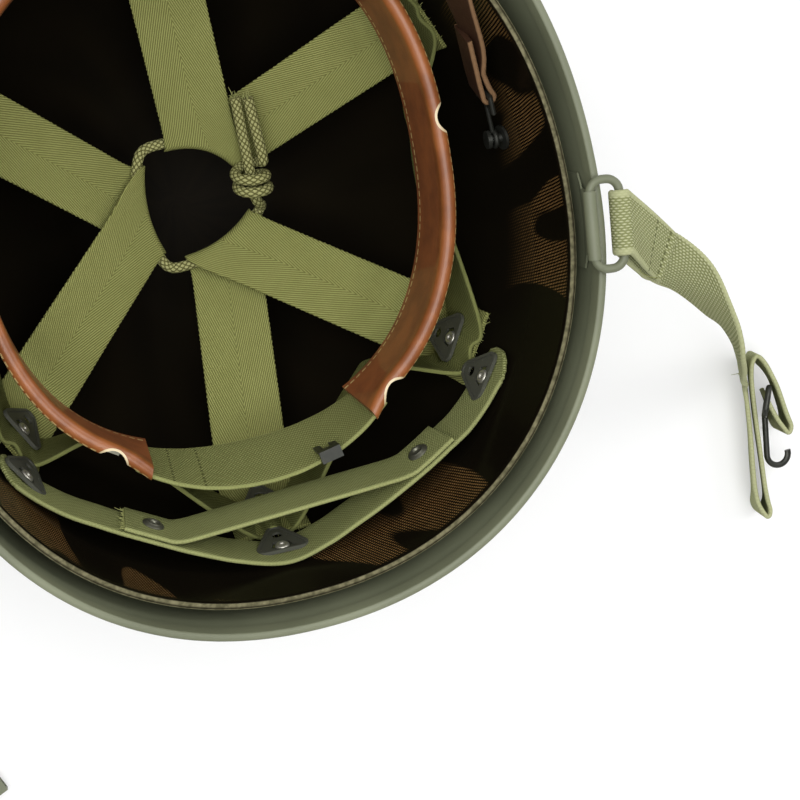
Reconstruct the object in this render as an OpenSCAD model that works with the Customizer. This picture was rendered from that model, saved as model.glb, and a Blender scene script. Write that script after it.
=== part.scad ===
// Combat helmet, two-piece pattern: steel shell, fibre liner with webbing suspension, chinstraps.
// Millimetres. The helmet lies on its crown: z up out of the opening, y toward the front brim,
// x to the wearer's side that is on the right of the picture. Origin: the outermost crown point.

/* [Shell] */
// half width of the steel shell at its rim
rim_half_w = 119.3; // [100:0.1:140]
// reach of the rim toward the front brim, from the widest place
rim_front = 154; // [130:0.5:175]
// reach of the rim toward the nape, from the widest place
rim_rear = 128.2; // [110:0.1:145]
// half width of the wall where the flare starts
wall_half_w = 117; // [98:0.1:138]
// reach of the wall toward the front
wall_front = 138.5; // [120:0.1:160]
// reach of the wall toward the nape
wall_rear = 126.2; // [108:0.1:143]
// height of the rim at the sides
shell_side_h = 176; // [150:0.5:190]
// height of the rim under the front brim
shell_front_h = 155; // [130:0.5:180]
// height of the rim at the nape
shell_rear_h = 168; // [140:0.5:185]
// steel thickness
steel_t = 1.1; // [0.8:0.1:2]
// depth of the folded rim binding
binding_h = 5; // [3:0.5:9]
// thickness of the binding strip
binding_t = 0.7; // [0.4:0.1:1.2]

/* [Liner] */
// gap between the liner and the shell wall at the sides
side_gap = 4.4; // [3:0.1:8]
// gap between the liner and the shell wall at the front
front_gap = 6.5; // [4:0.1:10]
// gap between the liner and the shell wall at the nape
rear_gap = 5.2; // [4:0.1:9]
// depth of the liner edge below the rim at the sides
side_drop = 8; // [6:0.5:14]
// depth of the liner edge below the rim at the front
front_drop = 9; // [6:0.5:16]
// depth of the liner edge below the rim at the nape
rear_drop = 10; // [6:0.5:18]
// wall thickness of the liner
liner_t = 2.4; // [1.5:0.1:4]
// gap between the liner crown and the shell crown
crown_gap = 0.3; // [0.1:0.1:2]

/* [Suspension] */
// width of the crown webbing
web_w = 28; // [20:0.5:38]
// thickness of the crown webbing
web_t = 1.4; // [0.8:0.1:2.5]
// distance from the ring centre to the cord in each fold
ring_rho = 18.5; // [15:0.5:30]
// height of the cord ring
ring_z = 45; // [30:0.5:70]
// diameter of the tie cord
cord_d = 4.2; // [2.5:0.1:5]
// height of the washers that hold the crown webbing
wash_z = 98; // [80:0.5:120]
// width of the headband webbing
headband_w = 24; // [15:0.5:30]
// thickness of the headband webbing
headband_t = 1.6; // [0.8:0.1:2.5]
// height of the washers that hold the nape band
nape_z = 124; // [110:0.5:140]
// width of the nape band and the nape strap
nape_w = 19; // [12:0.5:26]
// thickness of the nape band and the nape strap
nape_t = 1.6; // [0.8:0.1:2.5]

/* [Sweatband] */
// gap between the sweatband and the liner edge at the sides
sweat_side_gap = 30.6; // [24:0.1:45]
// gap between the sweatband and the liner edge at the front and at the nape
sweat_end_gap = 34; // [28:0.1:50]
// height of the leather
sweat_h = 34; // [25:0.5:45]
// lower edge of the leather
sweat_z = 100; // [85:0.5:120]
// thickness of the leather
leather_t = 2; // [1:0.1:3]

/* [Straps] */
// width of the chinstrap webbing
strap_w = 19; // [15:0.5:25]
// thickness of the chinstrap webbing
strap_t = 2; // [1.2:0.1:3]
// width of the leather chinstrap
thin_w = 12.7; // [10:0.1:16]
// thickness of the leather chinstrap
thin_t = 2; // [1.2:0.1:3]
// wire diameter of the bail
bail_wire = 3; // [2:0.1:4]
// opening of the bail along the rim
bail_len = 27; // [22:0.5:36]
// distance from the hinge tube to the outer bar of the bail
bail_reach = 10.5; // [8:0.5:20]
// length of the hinge tube
tube_len = 23; // [15:0.5:26]

/* [Hidden] */
$fn = 32;
na = 60;
nr = 16;
shape_n = 2.1;
crown_exp = 0.82;
shift_back = 9;
flare_from = 0.72;
fit = 0.15;
wall_fit = 0.5;
liner_half_w = wall_half_w - side_gap;
sweat_half_w = wall_half_w - side_gap - sweat_side_gap;
liner_front = wall_front - front_gap;
liner_rear = wall_rear - rear_gap;
sweat_half_l = (liner_front + liner_rear) / 2 - sweat_end_gap;
liner_side_h = shell_side_h - side_drop;
liner_front_h = shell_front_h - front_drop;
liner_rear_h = shell_rear_h - rear_drop;
bail_y = -22;
bail_z = shell_side_h + 3;
bail_yaw = 4.5;
ring_c = [2, 3, ring_z];
green = [0.44, 0.46, 0.27];
steel_green = [0.36, 0.37, 0.30];
dark = [0.25, 0.26, 0.24];
hide = [0.42, 0.2, 0.1];

// Formulas
function unit(v) = v / norm(v);
function gap_deg(a, b) = ((a - b + 900) % 360) - 180;
function mix(p, q, f) = p + (q - p) * f;
function ease(f) = let(g = max(0, min(1, f))) g * g * (3 - 2 * g);

// distance from the middle to an egg outline with its own front and rear reach
function oval(a, w, f, r) =
    pow(pow(abs(cos(a)) / w, shape_n) + pow(abs(sin(a)) / (sin(a) > 0 ? f : r), shape_n), -1 / shape_n);

// height of an edge: level at the sides, lower at the brim and at the nape
function edge_h(a, s, f, r) =
    s - (s - f) * exp(-pow(gap_deg(a, 90) / 40, 2)) - (s - r) * exp(-pow(gap_deg(a, 270) / 38, 2));
function shell_h(a) = edge_h(a, shell_side_h, shell_front_h, shell_rear_h);
function liner_h(a) = edge_h(a, liner_side_h, liner_front_h, liner_rear_h);

// point of the shell: a azimuth, t 0 at the crown and 1 at the rim, d offset inward
function flare(t) = t < flare_from ? 0 : pow((t - flare_from) / (1 - flare_from), 2.2);
function shell_pt(a, t, d) =
    let(w = oval(a, wall_half_w - d, wall_front - d, wall_rear - d),
        e = oval(a, rim_half_w - d, rim_front - d, rim_rear - d),
        r = pow(sin(90 * t), crown_exp) * w + (e - w) * flare(t))
    [r * cos(a), r * sin(a) - shift_back * t * t, d + (shell_h(a) - d) * (1 - cos(90 * t))];
function shell_t(a, z, d) = acos(1 - (z - d) / (shell_h(a) - d)) / 90;
function shell_at(a, z, d) = shell_pt(a, shell_t(a, min(z, shell_h(a)), d), d)
    + [0, 0, max(0, z - shell_h(a))];

// point of the liner, the same way; its crown rests on the shell
liner_z0 = steel_t + crown_gap;
function liner_pt(a, t, d) =
    let(r = pow(sin(90 * t), crown_exp) * oval(a, liner_half_w - d, liner_front - d, liner_rear - d),
        z0 = liner_z0 + d)
    [r * cos(a), r * sin(a) - shift_back * t * t, z0 + (liner_h(a) - z0) * (1 - cos(90 * t))];
function liner_at(a, z, d) =
    let(z0 = liner_z0 + d) liner_pt(a, acos(1 - (z - z0) / (liner_h(a) - z0)) / 90, d);

// directions on the inside of the liner
function wall_side(a) = unit(liner_at(a + 1, wash_z, liner_t) - liner_at(a - 1, wash_z, liner_t));
function wall_up(a, z) = unit(liner_at(a, z + 2, liner_t) - liner_at(a, z - 2, liner_t));
function wall_in(a, z) = unit(cross(wall_up(a, z), wall_side(a)));
function wall_point(a, z, off) = liner_at(a, z, liner_t) + wall_in(a, z) * off;

// smooth curve through points, n steps between two of them
function spline(p, i, f) =
    let(a = p[max(i - 1, 0)], b = p[i], c = p[min(i + 1, len(p) - 1)], d = p[min(i + 2, len(p) - 1)])
    0.5 * (2 * b + (c - a) * f + (2 * a - 5 * b + 4 * c - d) * f * f + (3 * b - a - 3 * c + d) * f * f * f);
function curve(p, n) = concat([for (i = [0:len(p) - 2], k = [0:n - 1]) spline(p, i, k / n)],
    [p[len(p) - 1]]);
function flip_x(p) = [-p[0], p[1], p[2]];
function along(p, i) = unit(p[min(i + 1, len(p) - 1)] - p[max(i - 1, 0)]);

// Builders
// bowl: rings of the outside and of the inside, with their middle points
module bowl(outer, inner, mid_o, mid_i) {
    n = len(outer[0]);
    m = len(outer);
    k = 1 + n * m;
    pts = concat([mid_o], [for (r = outer, p = r) p], [mid_i], [for (r = inner, p = r) p]);
    cells = [for (i = [0:m - 2], j = [0:n - 1]) [1 + i * n, j, (j + 1) % n]];
    edge = [for (j = [0:n - 1]) [1 + (m - 1) * n, j, (j + 1) % n]];
    polyhedron(points = pts, faces = concat(
        [for (j = [0:n - 1]) [0, 1 + j, 1 + (j + 1) % n]],
        [for (j = [0:n - 1]) [k, k + 1 + (j + 1) % n, k + 1 + j]],
        [for (c = cells) let(u = c[0]) [u + c[1], u + n + c[1], u + n + c[2]]],
        [for (c = cells) let(u = c[0]) [u + c[1], u + n + c[2], u + c[2]]],
        [for (c = cells) let(u = k + c[0]) [u + c[1], u + n + c[2], u + n + c[1]]],
        [for (c = cells) let(u = k + c[0]) [u + c[1], u + c[2], u + n + c[2]]],
        [for (c = edge) let(u = c[0]) [u + c[1], u + k + c[1], u + k + c[2]]],
        [for (c = edge) let(u = c[0]) [u + c[1], u + k + c[2], u + c[2]]]));
}

// closed or open run of sections, each a list of points that turns clockwise seen along the run
module run(sections, closed = false) {
    n = len(sections[0]);
    m = len(sections);
    last = closed ? m - 1 : m - 2;
    cells = [for (i = [0:last], j = [0:n - 1]) [i * n, ((i + 1) % m) * n, j, (j + 1) % n]];
    polyhedron(points = [for (s = sections, p = s) p], faces = concat(
        [for (c = cells) [c[0] + c[2], c[1] + c[2], c[1] + c[3]]],
        [for (c = cells) [c[0] + c[2], c[1] + c[3], c[0] + c[3]]],
        closed ? [] : [[for (j = [0:n - 1]) j], [for (j = [n - 1:-1:0]) (m - 1) * n + j]]));
}

// flat webbing through stations [middle, side direction, face direction, half width]
module webbing(st, t, closed = false) {
    dir = unit(st[1][0] - st[0][0]);
    s = cross(dir, st[0][2]) * st[0][1] > 0 ? 1 : -1;
    run([for (q = st) let(b = q[1] * q[3] * s, n = q[2] * t / 2)
        [q[0] - b + n, q[0] + b + n, q[0] + b - n, q[0] - b - n]], closed);
}

// round cord of k sides through the points p
module cord(p, d, k = 8) {
    turns = [for (j = [0:k - 1]) -360 * j / k];
    run([for (i = [0:len(p) - 1])
        let(t = along(p, i), u = unit(cross(t, abs(t[2]) > 0.9 ? [1, 0, 0] : [0, 0, 1])), v = cross(t, u))
            [for (g = turns) p[i] + (u * cos(g) - v * sin(g)) * d / 2]]);
}

module place(p, x, z) {
    y = cross(z, x);
    multmatrix([[x[0], y[0], z[0], p[0]], [x[1], y[1], z[1], p[1]], [x[2], y[2], z[2], p[2]], [0, 0, 0, 1]])
        children();
}

// Steel shell
module steel_shell() {
    color(steel_green) bowl(
        concat([for (i = [1:nr - 1]) [for (j = [0:na - 1]) shell_pt(360 * j / na, i / nr, 0)]],
            [[for (j = [0:na - 1]) shell_at(360 * j / na, shell_h(360 * j / na) - binding_h, 0)]],
            [[for (j = [0:na - 1]) shell_pt(360 * j / na, 1, 0)]]),
        concat([for (i = [1:nr - 1]) [for (j = [0:na - 1]) shell_pt(360 * j / na, i / nr, steel_t)]],
            [[for (j = [0:na - 1]) shell_at(360 * j / na, shell_h(360 * j / na) - binding_h, steel_t)]],
            [[for (j = [0:na - 1]) shell_pt(360 * j / na, 1, steel_t)]]),
        [0, 0, 0], [0, 0, steel_t]);
}

// stainless strip folded over the rim, its two legs on the two faces of the steel
module rim_binding() {
    g = 0.1;
    o = -g - binding_t;
    i = steel_t + g;
    b = -binding_h;
    color(steel_green) run([for (j = [na - 1:-1:0]) let(a = 360 * j / na, h = shell_h(a))
        [shell_at(a, h + b, o), shell_at(a, h + g + binding_t, o),
            shell_at(a, h + g + binding_t, i + binding_t), shell_at(a, h + b, i + binding_t),
            shell_at(a, h + b, i), shell_at(a, h + g, i),
            shell_at(a, h + g, -g), shell_at(a, h + b, -g)]], closed = true);
}

// Bails
bail_x = rim_half_w - 5.3;
module at_bail(s) {
    mirror([s > 0 ? 0 : 1, 0, 0])
        translate([bail_x, bail_y, bail_z]) rotate([0, 0, -bail_yaw]) children();
}

// weld plate inside the shell, curled over at its top into the hinge tube
plate_sheet = 0.7;
module bail_plate(s) {
    d0 = steel_t + 0.1;
    d1 = steel_t + 0.1 + binding_t + 0.2;
    zs = [for (q = [-25, -19, -13, -10, -7, -3, 0]) bail_z + q];
    cuts = 6;
    function pd(z) = d0 + (d1 - d0) * ease((z - bail_z + 14) / 4) + fit;
    function half(z) = z < bail_z - 12 ? 16.5 : tube_len / 2 - 0.1;
    function pp(z, f, extra) =
        let(y = bail_y + half(z) * f, a = atan2(y + shift_back, bail_x + 2)) shell_at(a, z, pd(z) + extra);
    color(steel_green) at_bail(s) difference() {
        union() {
            rotate([90, 0, 0]) cylinder(h = tube_len, d = bail_wire + 1.6, center = true);
            rotate([0, 0, bail_yaw]) translate([-bail_x, -bail_y, -bail_z])
                run([for (z = zs) concat([for (k = [0:cuts]) pp(z, -1 + 2 * k / cuts, 0)],
                    [for (k = [cuts:-1:0]) pp(z, -1 + 2 * k / cuts, plate_sheet)])]);
        }
        rotate([90, 0, 0]) cylinder(h = tube_len + 20, d = bail_wire + 2 * fit, center = true);
    }
}

// wire loop: one side turns in the tube, the other carries the chinstrap
module bail(s) {
    r = 4;
    h = bail_len / 2 + bail_wire / 2;
    color(steel_green) at_bail(s) {
        rotate([90, 0, 0]) cylinder(h = 2 * (h - r), d = bail_wire, center = true);
        translate([bail_reach, 0, 0]) rotate([90, 0, 0])
            cylinder(h = 2 * (h - r), d = bail_wire, center = true);
        for (k = [-1, 1]) {
            translate([r, k * (h - r), 0]) rotate([0, 0, k > 0 ? 90 : 180])
                rotate_extrude(angle = 90) translate([r, 0]) circle(d = bail_wire);
            translate([bail_reach - r, k * (h - r), 0]) rotate([0, 0, k > 0 ? 0 : 270])
                rotate_extrude(angle = 90) translate([r, 0]) circle(d = bail_wire);
            translate([r, k * h, 0]) rotate([0, 90, 0]) cylinder(h = bail_reach - 2 * r, d = bail_wire);
        }
    }
}

// Webbing chinstraps
bar_r = bail_wire / 2 + 0.3 + strap_t / 2;
function to_bail(s, p) = [s * (bail_x + p[0] * cos(bail_yaw) + p[1] * sin(bail_yaw)),
    bail_y - p[0] * sin(bail_yaw) + p[1] * cos(bail_yaw), bail_z + p[2]];
fall = 38;
dir_f = [cos(fall), 0, -sin(fall)];
up_f = [sin(fall), 0, cos(fall)];
bar_c = [bail_reach, 0, 0];

// the routes give x and y from the hinge of the bail, z from the table and the roll; the part
// that hangs, above laid_z, follows the height of the bail
laid_z = 20;
hung_z = 159;
function route_pos(q) = [bail_x + q[0], bail_y + q[1],
    q[2] < laid_z ? q[2] : laid_z + (q[2] - laid_z) * (bail_z - laid_z) / hung_z];

// right strap: sewn flap on top, round the bar, back below it and down to the floor on its edge
lay_len = 21;
right_wrap = concat(
    [for (q = [lay_len, lay_len * 0.5]) bar_c + dir_f * q + up_f * bar_r * (1 - 0.45 * q / lay_len)],
    [for (k = [0:6]) bar_c + up_f * bar_r * cos(30 * k) - dir_f * bar_r * sin(30 * k)],
    [for (q = [lay_len * 0.5, lay_len]) bar_c + dir_f * q - up_f * bar_r * (1 - 0.45 * q / lay_len)]);
right_route = [[37, -27, 152, 12], [53, -39, 134, 24], [74, -57, 100, 48], [90, -71, 66, 70],
    [103, -82.5, 34, 85], [111, -94.4, 15, 90], [112, -108.4, 10, 90], [111.2, -125.4, 10, 90],
    [110.2, -147.4, 10, 90], [111.2, -157.4, 10, 90], [114, -160.8, 10, 90], [116.8, -157.4, 10, 90],
    [117.6, -147.4, 10, 90], [117.8, -125.4, 10, 90], [117, -108.4, 10, 90], [116.8, -96.4, 10, 90],
    [118, -91.6, 10.5, 90], [120.6, -90.6, 11, 90], [124, -93.8, 12, 90], [129.2, -104.6, 13, 90],
    [133.6, -117.4, 13, 90], [134.2, -123, 13, 90], [130.8, -125, 13, 90], [127.4, -120.4, 13, 90],
    [125.2, -112.4, 13, 90], [122.8, -103.9, 13, 90]];
right_curve = curve(right_route, 2);
function rolled(p, i, roll, w) =
    let(t = along(p, i), flat = unit(cross([0, 0, 1], t)),
        side = flat * cos(roll) + cross(t, flat) * sin(roll))
    [p[i], side, cross(side, t), w];
module chinstrap_right() {
    side = [sin(bail_yaw), cos(bail_yaw), 0];
    wrap = [for (p = right_wrap) to_bail(1, p)];
    line = [for (q = right_curve) route_pos(q)];
    st = concat(
        [for (i = [0:len(wrap) - 1]) [wrap[i], side, cross(side, along(wrap, i)), strap_w / 2]],
        [for (i = [0:len(line) - 1]) rolled(line, i, right_curve[i][3], strap_w / 2)]);
    color(green) webbing(st, strap_t);
}

// blackened wire hook: an eye round the strap end, a shank and an open crook, lying on the floor
hook_wire = 2.6;
hook_eye = 12.2;
hook_c = [bail_x + 124.05, bail_y - 110.65, 13];
hook_dir = -108.7;
module chin_hook() {
    hw = strap_w / 2 + 0.4 + hook_wire / 2;
    color(dark) translate(hook_c) rotate([0, 0, hook_dir]) {
        for (x = [-hook_eye / 2, hook_eye / 2]) translate([x, 0, 0])
            cylinder(h = 2 * (hw - 3), d = hook_wire, center = true);
        for (k = [-1, 1]) {
            translate([0, 0, k * hw]) rotate([0, 90, 0])
                cylinder(h = hook_eye - 6, d = hook_wire, center = true);
            for (m = [-1, 1]) translate([m * (hook_eye / 2 - 3), 0, k * (hw - 3)])
                rotate([90, k > 0 ? (m > 0 ? 0 : -90) : (m > 0 ? 90 : 180), 0])
                    rotate_extrude(angle = 90) translate([3, 0]) circle(d = hook_wire);
        }
        translate([hook_eye / 2, 0, 0]) rotate([0, 90, 30]) cylinder(h = 18, d = hook_wire);
        translate([hook_eye / 2, 0, 0]) rotate([0, 0, 30]) translate([18, 5, 0]) {
            rotate([0, 0, -90]) rotate_extrude(angle = 195) translate([5, 0]) circle(d = hook_wire);
            rotate([0, 0, 105]) translate([5, 0, 0]) sphere(d = hook_wire);
        }
    }
}

// left strap: round the bar, down to the floor, then flat to its metal end
left_route = [[36, -22, 153, 12], [49, -38, 128, 10], [58, -56, 94, 5], [61, -74, 58, 0],
    [58, -94, 26, 0], [52, -114, 7, 0], [44.5, -134, 3.6, 0], [33, -159, 3.2, 0], [21.5, -184, 3.2, 0],
    [12, -204.6, 3.2, 0]];
left_curve = curve(left_route, 3);
module chinstrap_left() {
    side = [-sin(bail_yaw), cos(bail_yaw), 0];
    wrap = [for (p = right_wrap) to_bail(-1, p)];
    line = [for (q = left_curve) route_pos(q)];
    st = concat(
        [for (i = [0:len(wrap) - 1]) [wrap[i], side, cross(side, along(wrap, i)), strap_w / 2]],
        [for (i = [0:len(line) - 1]) let(q = rolled(line, i, left_curve[i][3], strap_w / 2))
            [flip_x(q[0]), flip_x(q[1]), flip_x(q[2]) * -1, q[3]]]);
    color(green) webbing(st, strap_t);
}

// frame in line with the straight end of the left strap
end_from = flip_x(route_pos(left_route[7]));
end_dir = unit(flip_x(route_pos(left_route[8])) - end_from);
module at_left_end(q) {
    translate(end_from + end_dir * q) rotate([0, 0, atan2(end_dir[1], end_dir[0])]) children();
}

// sheet clip pinched over the strap end
module strap_end_clip() {
    w = strap_w + 1.2;
    color(steel_green) at_left_end(49.4) difference() {
        translate([0, 0, 0]) cube([9, w, strap_t + 1.7], center = true);
        translate([-1.2, 0, 0]) cube([9, w + 2, strap_t + 0.3], center = true);
    }
}

// buckle that slides on the left strap: a frame with two bars over it and one under it
module chin_buckle() {
    w = strap_w + 1;
    color(dark) at_left_end(12) {
        for (k = [-1, 1]) translate([0, k * (w / 2 + 1.5), 0.2]) cube([22, 3, 5.8], center = true);
        for (k = [-1, 1]) translate([k * 9.5, 0, 2.2]) cube([3, w + 2, 1.8], center = true);
        translate([0, 0, -2]) cube([5, w + 2, 1.4], center = true);
    }
}

// Liner
rivet_d = 3.6;
washer_az = [90, 35, 145, 215, 270, 325];
nape_az = [321, 270, 219];
stud_az = 8.5;
stud_z = 125;
module liner_shell() {
    color([0.1, 0.08, 0.05]) bowl(
        [for (i = [1:nr]) [for (j = [0:na - 1]) liner_pt(360 * j / na, i / nr, 0)]],
        [for (i = [1:nr]) [for (j = [0:na - 1]) liner_pt(360 * j / na, i / nr, liner_t)]],
        [0, 0, liner_z0], [0, 0, liner_z0 + liner_t]);
}

// layers from the liner inward at a suspension washer: crown webbing, headband webbing, washer
function dish(w) = w * w / 8 / 105;
web_off = wall_fit + dish(web_w) + web_t / 2;
band_off = web_off + web_t / 2 + 0.95 + headband_t / 2;
plate_off = band_off + headband_t / 2 + 0.35;
plate_t = 0.9;

// ring of the sweatband: middle, and distance at an azimuth
sweat_c = [-2.5, 12, 0];
sweat_n = 2.4;
function sweat_r(a) =
    pow(pow(abs(cos(a)) / sweat_half_w, sweat_n) + pow(abs(sin(a)) / sweat_half_l, sweat_n), -1 / sweat_n);
function sweat_pt(a, z, off) =
    let(r = sweat_r(a) + off) sweat_c + [r * cos(a) - 3 * pow(max(0, -sin(a)), 2), r * sin(a), z];
function sweat_side(a) = unit(sweat_pt(a + 1, 0, 0) - sweat_pt(a - 1, 0, 0));
function sweat_out(a) = cross(sweat_side(a), [0, 0, 1]);

// headband webbing: along the sweatband at each clip, out to the wall and flat at each washer
clip_az = [6, 60, 120, 174, 240.5, 302.5];
band_rest = leather_t / 2 + 2.35;
band_flat = 10;
function at_washer(i, y, k) = [wall_point(washer_az[i], wash_z, band_off) + wall_side(washer_az[i]) * y,
    wall_up(washer_az[i], wash_z), k];
function at_clip(a, k = 1) = [sweat_pt(a, wash_z, band_rest), [0, 0, 1], k];
function flat_at(i) = [at_washer(i, -band_flat, 0), at_washer(i, 0, 0), at_washer(i, band_flat, 1)];
function clip_at(a) = [at_clip(a - 3.6, 0), at_clip(a + 3.6)];
band_knots = concat([at_clip(-11)], clip_at(clip_az[0]), flat_at(1), clip_at(clip_az[1]), flat_at(0),
    clip_at(clip_az[2]), flat_at(2), clip_at(clip_az[3]), [at_clip(190)], flat_at(3),
    clip_at(clip_az[4]), flat_at(4), clip_at(clip_az[5]), flat_at(5));
function wrap_spline(p, i, f) =
    let(n = len(p), a = p[(i + n - 1) % n], b = p[i], c = p[(i + 1) % n], d = p[(i + 2) % n])
    0.5 * (2 * b + (c - a) * f + (2 * a - 5 * b + 4 * c - d) * f * f + (3 * b - a - 3 * c + d) * f * f * f);
band_line = [for (i = [0:len(band_knots) - 1], k = [0:band_knots[i][2]])
    wrap_spline([for (q = band_knots) q[0]], i, k / 2)];
band_up = [for (i = [0:len(band_knots) - 1], k = [0:band_knots[i][2]])
    unit(wrap_spline([for (q = band_knots) q[1]], i, k / 2))];
module headband_webbing() {
    n = len(band_line);
    color(green) webbing([for (j = [0:n - 1])
        let(t = unit(band_line[(j + 1) % n] - band_line[(j + n - 1) % n]), b = band_up[j])
            [band_line[j], b, cross(t, b), headband_w / 2]], headband_t, closed = true);
}

// crown webs: each is one strap, laid from a washer to the ring, folded round the cord and back out
cord_gap = 0.3;
fold_r = cord_d / 2 + cord_gap + web_t / 2;
fold_mid = [62.5, 180, 297.5];
fold_from = [90, 215, 325];
fold_to = [35, 145, 270];
function fold_pt(k) = ring_c + [cos(fold_mid[k]), sin(fold_mid[k]), 0] * ring_rho;
function web_foot(a) = wall_point(a, wash_z - 17, web_off);
function web_top(a) = wall_point(a, wash_z + 13, web_off);
function leg_dir(k, a) = unit(web_foot(a) - fold_pt(k));
function fold_across(k) = unit(leg_dir(k, fold_from[k]) - leg_dir(k, fold_to[k]));
function fold_out(k) = unit(leg_dir(k, fold_from[k]) + leg_dir(k, fold_to[k]));
function fold_up(k) = let(n = cross(fold_across(k), fold_out(k))) n[2] > 0 ? n : n * -1;
function leg(k, a, s) =
    let(n = fold_up(k), d = leg_dir(k, a), b = unit(cross(n, d)), t = fold_across(k),
        bb = b * t > 0 ? b : b * -1, f = fold_pt(k) + n * fold_r * s, foot = web_foot(a),
        ws = wall_side(a), wss = ws * bb > 0 ? ws : ws * -1,
        p0 = f + d * 11, p1 = mix(f, foot, 0.55), p2 = mix(f, foot, 0.8), p3 = mix(f, foot, 0.93))
    [[f, t, n * s, web_w / 2 / (t * bb)], [p0, bb, n * s, web_w / 2],
        [p1, unit(mix(bb, wss, 0.3)), unit(mix(n, wall_in(a, wash_z), 0.1)) * s, web_w / 2],
        [p2, unit(mix(bb, wss, 0.7)), unit(mix(n, wall_in(a, wash_z), 0.3)) * s, web_w / 2],
        [p3, unit(mix(bb, wss, 0.9)), unit(mix(n, wall_in(a, wash_z), 0.5)) * s, web_w / 2],
        [foot, wss, wall_in(a, wash_z - 17) * s, web_w / 2],
        [wall_point(a, wash_z - 10, web_off), wss, wall_in(a, wash_z - 10) * s, web_w / 2],
        [wall_point(a, wash_z, web_off), wss, wall_in(a, wash_z) * s, web_w / 2],
        [web_top(a), wss, wall_in(a, wash_z + 8) * s, web_w / 2]];
module crown_web(k) {
    l1 = leg(k, fold_from[k], 1);
    l2 = leg(k, fold_to[k], -1);
    n = fold_up(k);
    o = fold_out(k);
    turn = [for (g = [45, 90, 135]) let(v = n * cos(g) - o * sin(g))
        [fold_pt(k) + v * fold_r, fold_across(k), v, l1[0][3]]];
    color(green) webbing(concat([for (i = [len(l1) - 1:-1:0]) l1[i]], turn, l2), web_t);
}

// tie cord: one piece, through the three folds, its end wound round itself and two tails
hold = 17.2;
function fold_end(k, s) = let(t = fold_across(k), q = [cos(fold_mid[k] + 90), sin(fold_mid[k] + 90), 0])
    fold_pt(k) + t * hold * s * (t * q > 0 ? 1 : -1);
function fold_run(k, s) = unit(fold_end(k, s) - fold_end(k, -s));
function corner(p, u, q, v, n) = [for (i = [1:n - 1]) let(f = i / n, g = 1 - f, h = 0.42 * norm(q - p) + 2)
    p * g * g * g + (p + u * h) * 3 * g * g * f + (q - v * h) * 3 * g * f * f + q * f * f * f];
knot_a = [25.4, -1.5, ring_z + 8];
knot_b = [22.4, 41, ring_z + 21.3];
knot_u = unit(knot_b - knot_a);
knot_s = unit(cross(knot_u, [0, 0, 1]));
knot_v = cross(knot_s, knot_u);
wind_r = cord_d + 0.55;
wind = [for (i = [0:24]) let(g = 30 * i)
    knot_a + knot_u * (6.4 + 4.9 * i / 12) + knot_s * wind_r * cos(g) + knot_v * wind_r * sin(g)];
cord_path = concat(
    [knot_b, mix(knot_a, knot_b, 0.5), mix(knot_a, knot_b, 0.1)],
    corner(mix(knot_a, knot_b, 0.1), knot_u * -1, fold_end(2, 1), fold_run(2, -1), 6),
    [fold_end(2, 1), fold_end(2, -1)],
    corner(fold_end(2, -1), fold_run(2, -1), fold_end(1, 1), fold_run(1, -1), 6),
    [fold_end(1, 1), fold_end(1, -1)],
    corner(fold_end(1, -1), fold_run(1, -1), fold_end(0, 1), fold_run(0, -1), 6),
    [fold_end(0, 1), fold_end(0, -1)],
    corner(fold_end(0, -1), fold_run(0, -1), wind[0], unit(wind[1] - wind[0]), 6),
    wind,
    [wind[24] + knot_u * 4 + knot_v * 0.4, knot_b + knot_s * wind_r - knot_u * 1.5]);
cord_len = [for (i = [0:len(cord_path) - 2]) norm(cord_path[i + 1] - cord_path[i])];
function total(v, i = 0) = i >= len(v) ? 0 : v[i] + total(v, i + 1);
function upto(v, n, i = 0) = i >= n ? 0 : v[i] + upto(v, n, i + 1);
self_gap = min([for (i = [0:len(cord_path) - 1], j = [i + 1:len(cord_path) - 1])
    if (upto(cord_len, j) - upto(cord_len, i) > 2.2 * cord_d) norm(cord_path[i] - cord_path[j])]) - cord_d;
module tie_cord() {
    echo(tie_cord_length = total(cord_len), least_gap_to_itself = self_gap);
    color([0.5, 0.52, 0.33]) cord(cord_path, cord_d);
}

// Washers and rivets
function round_corner(c, r, a0, a1) = [for (a = [a0:(a1 - a0) / 5:a1 + 1]) c + r * [cos(a), sin(a)]];
function washer_outline(g) = concat(
    round_corner([6.5, -5], 3 - g, -90, 25), round_corner([0, 7.5], 3.4 - g, 25, 155),
    round_corner([-6.5, -5], 3 - g, 155, 270));
module a_washer() {
    difference() {
        linear_extrude(plate_t) polygon(washer_outline(0));
        translate([0, 0, -1]) linear_extrude(4) polygon([[-4, -4.6], [4, -4.6], [2.6, -0.6], [-2.6, -0.6]]);
        translate([0, 4.6, -1]) cylinder(h = 4, d = rivet_d + 2 * fit);
    }
    translate([0, 0, plate_t]) linear_extrude(0.5) difference() {
        polygon(washer_outline(0));
        polygon(washer_outline(1.1));
    }
}
module rivet(l) {
    translate([0, 0, -l]) cylinder(h = l, d = rivet_d);
    cylinder(h = 0.9, d = 6);
}
module at_wall(a, z, off) {
    place(wall_point(a, z, off), wall_side(a), wall_in(a, z)) children();
}
module suspension_washer(i) {
    color(dark) at_wall(washer_az[i], wash_z - 4.6, plate_off) rotate([0, 0, 180]) a_washer();
}

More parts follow.
